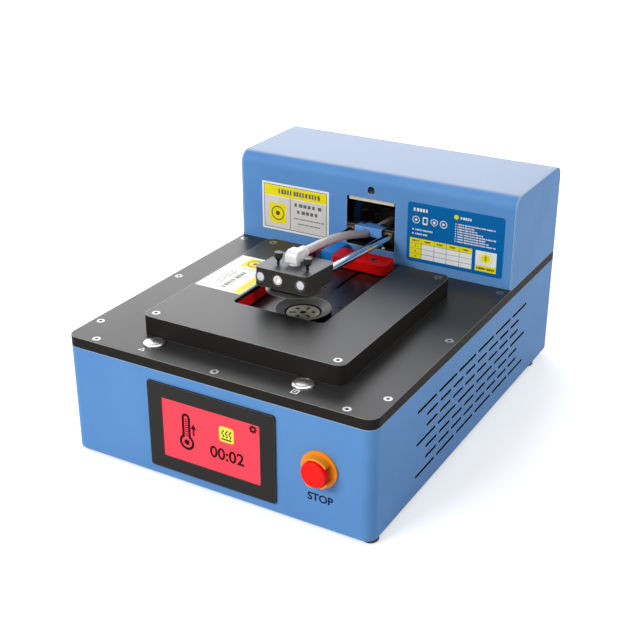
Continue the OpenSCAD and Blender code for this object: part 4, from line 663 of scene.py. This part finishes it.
def thermometer(tube_r, bulb_r, bulb_steps=28, cap_steps=12):
    start = math.asin(tube_r / bulb_r)
    sweep = 2 * math.pi - 2 * start
    turns = [start + sweep * k / bulb_steps for k in range(bulb_steps + 1)]
    arc = [(THERMOMETER_X + bulb_r * math.sin(a), BULB_Z + bulb_r * math.cos(a)) for a in turns]
    turns = [math.pi * k / cap_steps for k in range(cap_steps + 1)]
    cap = [(THERMOMETER_X - tube_r * math.cos(a), TUBE_TOP + tube_r * math.sin(a))
           for a in turns]
    return arc + cap


film("thermometer_icon", [thermometer(TUBE_R, BULB_R), thermometer(TUBE_R - LINE, BULB_R - LINE),
                          disc_loop(THERMOMETER_X, BULB_Z, FILLING_R)], *on_screen)
film("thermometer_scale", [box_loop(MARK_LEFT, z, MARK_RIGHT, z + MARK_HIGH) for z in
                           [MARK_FROM + MARK_PITCH * k for k in range(MARKS)]], *on_screen)
ARROW = [(-18.6, 54.4), (-16.8, 54.4), (-16.8, 60.6), (-14.7, 60.6), (-17.7, 65.6),
         (-20.7, 60.6), (-18.6, 60.6)]
film("arrow_icon", [ARROW], *on_screen)

# %% [markdown]
# ## Screen: settings, heat and time
# The gear is one loop that goes in and out at each tooth. The heat mark is three waves over a
# plate, on a yellow field, and each wave is a line of one width along a sine. The time is set
# in Blender's own font, a little bolder.
# %% Draw the gear, the heat mark and the time
GEAR_X, GEAR_Z, GEAR_HOLE_R, TEETH = 41.6, 78.2, 1.15, 8
ROOT_R, TIP_R, ROOT_TURN, TIP_TURN = 2.9, 3.9, 15, 10
gear = []
for k in range(TEETH):
    for turn_by, reach in ((-ROOT_TURN, ROOT_R), (-TIP_TURN, TIP_R), (TIP_TURN, TIP_R),
                           (ROOT_TURN, ROOT_R)):
        angle = math.radians(360 / TEETH * k + turn_by)
        gear.append((GEAR_X + reach * math.cos(angle), GEAR_Z + reach * math.sin(angle)))
film("gear_icon", [gear, disc_loop(GEAR_X, GEAR_Z, GEAR_HOLE_R)], *on_screen)
HEAT_FIELD, HEAT_CORNER_R = (8.3, 58.0, 22.7, 72.4), 2.4
HEAT_PLATE = (10.6, 60, 20.4, 61.2)
WAVES_AT, WAVE_FOOT, WAVE_SWING, WAVE_RATE, WAVE_LINE = (12.0, 15.5, 19.0), 62.5, 0.9, 1.25, 0.9
WAVE_POINTS, WAVE_STEP = 15, 0.5
film("heat_field", [box_loop(*HEAT_FIELD, HEAT_CORNER_R)], "front", panel, "machine", "screen",
     lit_yellow)
rises = [WAVE_STEP * k for k in range(WAVE_POINTS)]
waves = [[(x + WAVE_SWING * math.sin(t * WAVE_RATE), WAVE_FOOT + t) for t in rises]
         for x in WAVES_AT]
ink("heat_icon", [stroke_loop(wave, WAVE_LINE) for wave in waves] + [box_loop(*HEAT_PLATE)],
    ("front", panel), SCREEN_INK, "screen", dark_pixels)
CLOCK_X, CLOCK_FOOT, CLOCK_HIGH, CLOCK_BOLD = 15.4, 40.2, 10.6, 0.36
letters("screen_clock", "00:02", CLOCK_X, CLOCK_FOOT, CLOCK_HIGH, "front", panel, "machine",
        dark_pixels, CLOCK_BOLD)

# %% [markdown]
# ## Word under the stop
# The red head is the emergency stop, and the word below it is screen printed on the casing.
# It is generic, as ON and OFF are on a switch. It is set in Blender's own font and cut as a
# film, so its edges stay sharp.
# %% Print the stop's word
WORD_X, WORD_FOOT, WORD_HIGH, WORD_BOLD = 103.1, 28.8, 6.7, 0.26
casing_face = -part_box("base_casing")[0][1] / MM
letters("stop_word", "STOP", WORD_X, WORD_FOOT, WORD_HIGH, "front", casing_face, "machine",
        navy_ink, WORD_BOLD)

# %% [markdown]
# ## Left label on the housing
# Two films lie on the housing's front. Their layout follows the real ones: a header band,
# ruled cells, round pictograms and a small table. They carry only dashes, ruled lines and
# plain symbols, with no words in them. The left one is white, with a black frame, a yellow
# header and a ring on a yellow field. Boxes are left, low, right and high, in mm.
# %% Lay the left film
housing = ("front", -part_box("housing_wrap")[0][1] / MM)
LEFT_LABEL, LEFT_LABEL_R = (-125.5, 128.5, -47.0, 179.6), 0.8
MARGIN, FRAME_LINE, CELL_GAP = 2.2, 0.6, 0.8
DIVIDE, HEADER = -92.0, 165.5
DIVIDE_LINE, DIVIDE_GAP = 0.3, 0.4
LEFT_FIELD, LEFT_FIELD_R = (-117, 136.5, -97, 158), 3.0
LEFT_RING_X, LEFT_RING_Z, LEFT_RINGS = -107, 147.2, (7.6, 6.6, 2.4)


def inset(box, by):
    return (box[0] + by, box[1] + by, box[2] - by, box[3] - by)


ink("left_label", [box_loop(*LEFT_LABEL, LEFT_LABEL_R)], housing, 0, "white_plastic",
    white_film)
edge = inset(LEFT_LABEL, MARGIN)
low_x, low_z, high_x, high_z = inset(edge, CELL_GAP)
ink("left_label_frame", [box_loop(*edge), box_loop(*inset(edge, FRAME_LINE))], housing,
    FIRST_INK, "black_plastic", black_ink)
ink("left_label_header", [box_loop(low_x, HEADER, high_x, high_z)], housing, FIRST_INK,
    "guard_yellow", yellow_ink)
ink("left_label_cells", [box_loop(low_x, low_z, DIVIDE - DIVIDE_GAP, HEADER - CELL_GAP),
                         box_loop(DIVIDE + DIVIDE_GAP, low_z, high_x, HEADER - CELL_GAP)],
    housing, FIRST_INK, "white_plastic", grey_film)
left_print = print_rows((-106, -57, 168.6, 5.0, 3.4), (-87, -53, 157.6, 3.6, 5.2),
                        (-84, -56, 150.4, 3.6, 5.2), (-88, -52, 144.2, 1.3, 1.5),
                        (-83, -57, 138.8, 1.3, 1.5))
left_print.append(box_loop(DIVIDE - DIVIDE_LINE, edge[1], DIVIDE + DIVIDE_LINE, HEADER))
ink("left_label_lines", left_print, housing, SECOND_INK, "black_plastic", faded_ink)
ink("left_label_field", [box_loop(*LEFT_FIELD, LEFT_FIELD_R)], housing, SECOND_INK,
    "guard_yellow", yellow_ink)
ink("left_label_ring", [disc_loop(LEFT_RING_X, LEFT_RING_Z, r) for r in LEFT_RINGS], housing,
    LAST_INK, "black_plastic", black_ink)

# %% [markdown]
# ## Right label: pictograms and notes
# The right film is blue and printed white: two headings, four round or upright pictograms, two
# points and eight notes of different length, each behind its bullet. Every pictogram is an
# outline, so it is a loop with a smaller loop inside.
# %% Lay the right film and print it
RIGHT_LABEL, RIGHT_LABEL_R = (40.0, 125.3, 139.5, 185.8), 3.0
ink("right_label", [box_loop(*RIGHT_LABEL, RIGHT_LABEL_R)], housing, 0, "bright_blue", blue_ink)
PICTOGRAM_Z, PICTOGRAM_R, PICTOGRAM_LINE = 168.5, 3.8, 0.7
RING_AT, TABLET_AT, SHIELD_AT, PLAY_AT = 49.1, 58.7, 68.1, 77.8
RING_DOT_R, SHIELD_DOT_R = 1.3, 1.4
TABLET, TABLET_R, TABLET_GLASS = (-2.6, -3.9, 2.6, 3.9), 0.8, (-1.6, -2.3, 1.6, 2.5)
PLAY_MARK = ((-1.2, -1.7), (1.8, 0), (-1.2, 1.7))
SHIELD_SHARES = ((-1, 0.6), (0, 1), (1, 0.6), (0.9, -0.3), (0, -1), (-0.9, -0.3))


def shield_loop(r):
    return [(SHIELD_AT + x * r, PICTOGRAM_Z + z * r) for x, z in SHIELD_SHARES]


def tablet_loop(box, radius=0.0):
    return box_loop(TABLET_AT + box[0], PICTOGRAM_Z + box[1], TABLET_AT + box[2],
                    PICTOGRAM_Z + box[3], radius)


inner_r = PICTOGRAM_R - PICTOGRAM_LINE
pictograms = [disc_loop(x, PICTOGRAM_Z, r)
              for x in (RING_AT, PLAY_AT) for r in (PICTOGRAM_R, inner_r)]
pictograms += [disc_loop(RING_AT, PICTOGRAM_Z, RING_DOT_R),
               tablet_loop(TABLET, TABLET_R), tablet_loop(TABLET_GLASS),
               shield_loop(PICTOGRAM_R), shield_loop(inner_r),
               disc_loop(SHIELD_AT, PICTOGRAM_Z, SHIELD_DOT_R),
               [(PLAY_AT + x, PICTOGRAM_Z + z) for x, z in PLAY_MARK]]
ink("right_label_pictograms", pictograms, housing, FIRST_INK, "white_plastic", white_film)
NOTE_LENGTHS = (38.2, 17.5, 20.3, 26, 39.8, 29.5, 32, 39.3)
NOTES_TOP, NOTE_PITCH, NOTE_X, NOTE_HIGH, NOTE_DASH = 170.9, 2.47, 92.2, 1.3, 1.4
BULLET_FROM, BULLET_TO = -2.2, -1.4
POINTS_Z, POINT_LEFT, POINT_RIGHT, POINT_X, POINT_HIGH = (157.8, 153.5), 45.6, 46.9, 48.8, 1.6
MARK_X, MARK_Z, MARK_R = 90.6, 178.4, 2.3
notes = print_rows((46.3, 63.3, 177.2, 3.2, 3.2), (94.9, 106.6, 176.9, 2.5, 2.4),
                   (POINT_X, 67.1, POINTS_Z[0], POINT_HIGH, POINT_HIGH),
                   (POINT_X, 62.6, POINTS_Z[1], POINT_HIGH, POINT_HIGH))
notes += [box_loop(POINT_LEFT, z, POINT_RIGHT, z + POINT_HIGH) for z in POINTS_Z]
for k, length in enumerate(NOTE_LENGTHS):
    z = NOTES_TOP - NOTE_PITCH * k
    notes.append(box_loop(NOTE_X + BULLET_FROM, z, NOTE_X + BULLET_TO, z + NOTE_HIGH))
    notes += print_row(NOTE_X, NOTE_X + length, z, NOTE_HIGH, NOTE_DASH)
ink("right_label_notes", notes, housing, FIRST_INK, "white_plastic", white_film)
ink("right_label_mark", [disc_loop(MARK_X, MARK_Z, MARK_R)], housing, FIRST_INK,
    "guard_yellow", yellow_ink)

# %% [markdown]
# ## Right label: table and seal
# Below the notes is a table, yellow along its top and left and white elsewhere. The blue film
# shows between the cells as its rules. Beside it a white square carries a yellow seal with two
# arcs around it, over a yellow band.
# %% Print the table and the seal
RULE = 0.2
table_x = [43.2, 55.9, 69.0, 81.9, 95.4, 108.5]
table_z = [128.8, 133.9, 139.1, 144.5, 149.9]


def cell(column, row):
    return box_loop(table_x[column] + RULE, table_z[row] + RULE, table_x[column + 1] - RULE,
                    table_z[row + 1] - RULE)


columns, rows = range(len(table_x) - 1), range(len(table_z) - 1)
ink("right_label_yellow_cells", [cell(0, row) for row in rows] +
    [cell(column, rows[-1]) for column in columns[1:]], housing, FIRST_INK, "guard_yellow",
    yellow_ink)
ink("right_label_white_cells", [cell(column, row) for row in rows[:-1] for column in columns[1:]],
    housing, FIRST_INK, "white_plastic", white_film)
SQUARE = (111.9, 134.9, 133.1, 149.7)
BAND = (111.9, 129.1, 133.1, 134.8)
SEAL_X, SEAL_Z, SEAL_R, SEAL_ARC_R, SEAL_LINE = 122.4, 142.7, 4.4, 6.3, 0.7
ARC_STARTS, ARC_SWEEP, ARC_STEP = (-60, 120), 120, 10
BAR_HALF, BAR_REACH = 0.5, 2.3
ink("right_label_square", [box_loop(*SQUARE)], housing, FIRST_INK, "white_plastic", white_film)
ink("right_label_band", [box_loop(*BAND)], housing, FIRST_INK, "guard_yellow", yellow_ink)
ink("right_label_seal", [disc_loop(SEAL_X, SEAL_Z, SEAL_R)], housing, SECOND_INK,
    "guard_yellow", yellow_ink)


def seal_arc(start):
    turns = [math.radians(a) for a in range(start, start + ARC_SWEEP + 1, ARC_STEP)]
    return stroke_loop([(SEAL_X + SEAL_ARC_R * math.cos(a), SEAL_Z + SEAL_ARC_R * math.sin(a))
                        for a in turns], SEAL_LINE)


ink("right_label_seal_ring", [seal_arc(start) for start in ARC_STARTS], housing, SECOND_INK,
    "guard_yellow", yellow_ink)
FIGURE_LEFT, FIGURE_RIGHT, FIGURES_Z, FIGURE_HIGH = 49.1, 49.9, (130.4, 135.5, 140.8), 2.0
HEADINGS_X, HEADING_LONG, HEADING_Z, HEADING_HIGH = (59, 72, 85.3, 98.6), 6, 146.4, 1.6
table_print = print_rows((113.6, 131.4, 131.0, 2.1, 2.0), (45.5, 53.2, 146.6, 1.3, 1.3))
table_print += [box_loop(FIGURE_LEFT, z, FIGURE_RIGHT, z + FIGURE_HIGH) for z in FIGURES_Z]
table_print += print_rows(*[(x, x + HEADING_LONG, HEADING_Z, HEADING_HIGH, HEADING_HIGH)
                            for x in HEADINGS_X])
table_print.append(box_loop(SEAL_X - BAR_HALF, SEAL_Z - BAR_REACH, SEAL_X + BAR_HALF,
                            SEAL_Z + BAR_REACH))
ink("right_label_print", table_print, housing, THIRD_INK, "black_plastic", black_ink)

# %% [markdown]
# ## Label on the platform
# It lies flat beside the bed, where the hands come near the warm plate, and reads from the
# side. A thin line parts its two fields, and a bare yellow strip runs along the window. Only
# the ground differs from the other labels, so the same functions lay it.
# %% Lay the platform's film
platform = ("top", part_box("platform_frame")[1][2] / MM)
FLAT_LABEL, FLAT_LABEL_R = (-92, -83.25, -42.8, -3.25), 0.6
STRIP, PARTING = (-52.3, -81.5, -44.4, -33.5), (-91, -31.2, -43.8, -30.9)
FLAT_FIELD, FLAT_FIELD_R = (-80, -27, -58, -7), 2.5
FLAT_RING_X, FLAT_RING_Y, FLAT_RINGS = -69, -17, (7.4, 6.4, 2.2)
ink("platform_label", [box_loop(*FLAT_LABEL, FLAT_LABEL_R)], platform, 0, "white_plastic",
    white_film)
ink("platform_label_strip", [box_loop(*STRIP)], platform, FIRST_INK, "guard_yellow", yellow_ink)
ink("platform_label_field", [box_loop(*FLAT_FIELD, FLAT_FIELD_R)], platform, FIRST_INK,
    "guard_yellow", yellow_ink)
ink("platform_label_ring", [disc_loop(FLAT_RING_X, FLAT_RING_Y, r) for r in FLAT_RINGS],
    platform, SECOND_INK, "black_plastic", black_ink)
# The rows run along the machine, so each dash is turned a quarter.
side_print = [[(-z, along) for along, z in loop] for loop in print_rows(
    (-76, -37, 64.2, 4.6, 4.2), (-69, -39, 74.4, 0.9, 1.4), (-69, -39, 78.0, 0.9, 1.4))]
ink("platform_label_lines", [box_loop(*PARTING)] + side_print, platform, SECOND_INK,
    "black_plastic", faded_ink)

# %% [markdown]
# ## Painted shade at the rods and a pad on the sill
# A black ring around each rod, where it meets the head's face, is painted shade for the dark
# groove there, and a thin rubber pad lies on the opening's sill around the white stop. Both are
# flat, so the function for films cuts them too, only thicker.
# %% Add the painted shade at the rods and the sill pad
ROD_X, ROD_SHADE_RS, ROD_SHADE_AT, ROD_SHADE_THICK = 20.3, (4.62, 4.05), 244.45, 0.6
film("rod_groove_shade", [disc_loop(side * ROD_X, 0, r) for side in (-1, 1) for r in ROD_SHADE_RS],
     "arm", ROD_SHADE_AT, "arm", "cup_rubber", foot_rubber, ROD_SHADE_THICK)
DOME_R, DOME_H, DOME_GAP = 1.9, 2.2, 0.4
SILL_PAD, SILL_PAD_R, SILL_PAD_THICK = (-26, 86.7, 26, 93.9), 0.5, 0.3
stop_low, stop_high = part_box("down_stop")
stop_x, stop_y = [(stop_low[i] + stop_high[i]) / 2 / MM for i in (0, 1)]
film("sill_pad", [box_loop(*SILL_PAD, SILL_PAD_R), disc_loop(stop_x, stop_y, DOME_R + DOME_GAP)],
     "top", stop_high[2] / MM - DOME_H, "machine", "cup_rubber", foot_rubber, SILL_PAD_THICK)

# %% [markdown]
# ## Painted shade in the lower cup's holes and groove
# Black patches in the holes of the lower cup's disc are painted shade, the dark that the holes
# show, and a black ring near the disc's edge is painted shade for a groove there. One sheet
# under the disc would do, but patches of the holes' own shapes need no room beside them.
# %% Put patches into the holes
painted_shade_film = surface("black_painted_shade", "#060606", "#040404", 0.8, 0.5, 0.002,
                       edge_mm=0.05, Specular_IOR_Level=0.05)
# Each patch of painted shade is a hair smaller than its hole.
HOLE_R, SMALL_R, SLOT_L, SLOT_W = 2.95, 1.95, 5.9, 2.1
RING_R, DISC_TURN, REPEATS = 9.4, 30, 3
SHADE_DEEP, SHADE_THICK = 1.0, 0.15
GROOVE_IN, GROOVE_WIDE, GROOVE_THICK = 0.2, 1.7, 0.12
disc_low, disc_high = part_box("lower_cup_disc")
DISC_R = (disc_high[0] - disc_low[0]) / 2 / MM
DISC_X, DISC_Y = [(disc_low[i] + disc_high[i]) / 2 / MM for i in (0, 1)]
disc_face = disc_high[2] / MM


def on_disc(angle, points):
    c, s = math.cos(math.radians(angle)), math.sin(math.radians(angle))
    return [(DISC_X + c * x - s * y, DISC_Y + s * x + c * y) for x, y in points]


slot_loop = box_loop(RING_R - SLOT_L / 2, -SLOT_W / 2, RING_R + SLOT_L / 2, SLOT_W / 2)
hole_shades = [disc_loop(DISC_X, DISC_Y, HOLE_R)]
for k in range(REPEATS):
    hole_turn = DISC_TURN + 360 / REPEATS * k
    hole_shades.append(on_disc(hole_turn, disc_loop(RING_R, 0, SMALL_R)))
    hole_shades.append(on_disc(hole_turn + 180 / REPEATS, slot_loop))
film("cup_hole_shade", hole_shades, "top", disc_face - SHADE_DEEP, "machine", "cup_rubber",
     painted_shade_film, SHADE_THICK)
# The ring below is painted shade for the groove.
groove_r = DISC_R - GROOVE_IN
film("cup_groove_shade", [disc_loop(DISC_X, DISC_Y, r) for r in (groove_r, groove_r - GROOVE_WIDE)],
     "top", disc_face, "machine", "cup_rubber", painted_shade_film, GROOVE_THICK)

# %% [markdown]
# ## Marks at the push buttons
# A white square stands before the right button, with a small bar in it, and a white triangle
# before the left one. Both are printed on the deck in outline.
# %% Print the buttons' marks
deck_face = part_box("deck_plate")[1][2] / MM
SQUARE_MARK = [(71, -186.6, 77.2, -180.4), (71.9, -185.7, 76.3, -181.3),
               (73, -184.1, 75.2, -182.9)]
TRIANGLE_MARK = [[(-79, -186.4), (-72.4, -186.4), (-75.7, -180.6)],
                 [(-77.3, -185.4), (-74.1, -185.4), (-75.7, -182.6)]]
film("button_marks", [box_loop(*box) for box in SQUARE_MARK] + TRIANGLE_MARK, "top", deck_face,
     "machine", "white_plastic", white_film)

# %% [markdown]
# ## Floor
# The machine stands on pale studio paper. The paper glows a little for camera, glossy and
# transmission rays only, which the Light Path node tells apart, so it looks white to the eye
# and in mirrors, adds no light to the paint, and keeps the machine's shadow.
# %% Lay the paper
def seen_ray(tree):
    path = add(tree, "LightPath").outputs
    first = add(tree, "Math", {0: path["Is Camera Ray"], 1: path["Is Glossy Ray"]},
                operation="MAXIMUM").outputs[0]
    return add(tree, "Math", {0: first, 1: path["Is Transmission Ray"]},
               operation="MAXIMUM").outputs[0]


FLOOR_HALF, PAPER_GREY, PAPER_GLOW = 6.0, 0.82, 0.5
floor_mesh = bpy.data.meshes.new("floor")
floor_mesh.from_pydata([(x * FLOOR_HALF, y * FLOOR_HALF, 0)
                        for x, y in ((-1, -1), (1, -1), (1, 1), (-1, 1))], [], [(0, 1, 2, 3)])
floor = bpy.data.objects.new("floor", floor_mesh)
collection.objects.link(floor)
paper = bpy.data.materials.new("studio_paper")
paper.use_nodes = True
paper_tree = paper.node_tree
paper_tree.nodes.clear()
matt = add(paper_tree, "BsdfDiffuse", {"Color": (PAPER_GREY, PAPER_GREY, PAPER_GREY, 1)})
glow_strength = add(paper_tree, "MapRange", {"Value": seen_ray(paper_tree),
                                             "To Max": PAPER_GLOW}).outputs[0]
glow = add(paper_tree, "Emission", {"Color": (1, 1, 1, 1), "Strength": glow_strength})
both = add(paper_tree, "AddShader", {0: matt.outputs[0], 1: glow.outputs[0]}).outputs[0]
add(paper_tree, "OutputMaterial", {"Surface": both})
floor_mesh.materials.append(paper)
print("the paper is", 2 * FLOOR_HALF, "m wide")

# %% [markdown]
# ## Sky
# The sky is even and dim for the paint. The same rays as on the paper see a white backdrop in
# it, so that metal and glass mirror a white room.
# %% Hang the backdrop
world = bpy.data.worlds.new("studio")
bpy.context.scene.world = world
world.use_nodes = True
sky = world.node_tree
sky.nodes.clear()
SKY_LIGHT, BACKDROP = 0.42, 1.0
strength = add(sky, "MapRange", {"Value": seen_ray(sky), "To Min": SKY_LIGHT,
                                 "To Max": BACKDROP}).outputs[0]
backdrop = add(sky, "Background", {"Color": (1, 1, 1, 1), "Strength": strength}).outputs[0]
add(sky, "OutputWorld", {"Surface": backdrop})
print("the sky lights the paint at", SKY_LIGHT)

# %% [markdown]
# ## Lamps
# This is plain studio light: one soft lamp from the left and front, a weak one from the right
# and behind, a wide one behind that the tops mirror, and a faint one above. A small spot from
# the right shines into the bed, on the red bar and the lower cup. The Standard view keeps each
# colour as it is written.
# %% Light the machine
def aimed(place, aim):
    return (Vector(aim) - Vector(place)).to_track_quat("-Z", "Y").to_euler()


def lamp(name, place, size, watts, aim=(0, 0, 0.1)):
    light = bpy.data.lights.new(name, "AREA")
    light.shape = "RECTANGLE"
    light.size, light.size_y = size
    light.energy = watts
    holder = bpy.data.objects.new(name, light)
    holder.location = place
    holder.rotation_euler = aimed(place, aim)
    holder.visible_camera = False
    collection.objects.link(holder)
    print(name, "lamp gives", watts, "W")


lamp("key", (-1.5, -3.1, 2.4), (2.0, 1.5), 112)
lamp("side", (1.6, 0.9, 0.9), (0.7, 1.0), 6)
lamp("back", (-1.45, 1.85, 1.2), (2.6, 1.8), 52)
lamp("top", (-0.1, 0.3, 1.9), (1.6, 1.0), 2)
BED_SPOT, BED_AIM = (0.75, -0.55, 0.62), (-0.02, -0.07, 0.12)
SPOT_WATTS, SPOT_DEGREES, SPOT_BLEND, SPOT_R = 14, 13, 0.8, 0.05
cone = bpy.data.lights.new("bed_spot", "SPOT")
cone.energy, cone.spot_blend, cone.shadow_soft_size = SPOT_WATTS, SPOT_BLEND, SPOT_R
cone.spot_size = math.radians(SPOT_DEGREES)
spot_holder = bpy.data.objects.new("bed_spot", cone)
spot_holder.location = BED_SPOT
spot_holder.rotation_euler = aimed(BED_SPOT, BED_AIM)
collection.objects.link(spot_holder)
bpy.context.scene.view_settings.view_transform = "Standard"
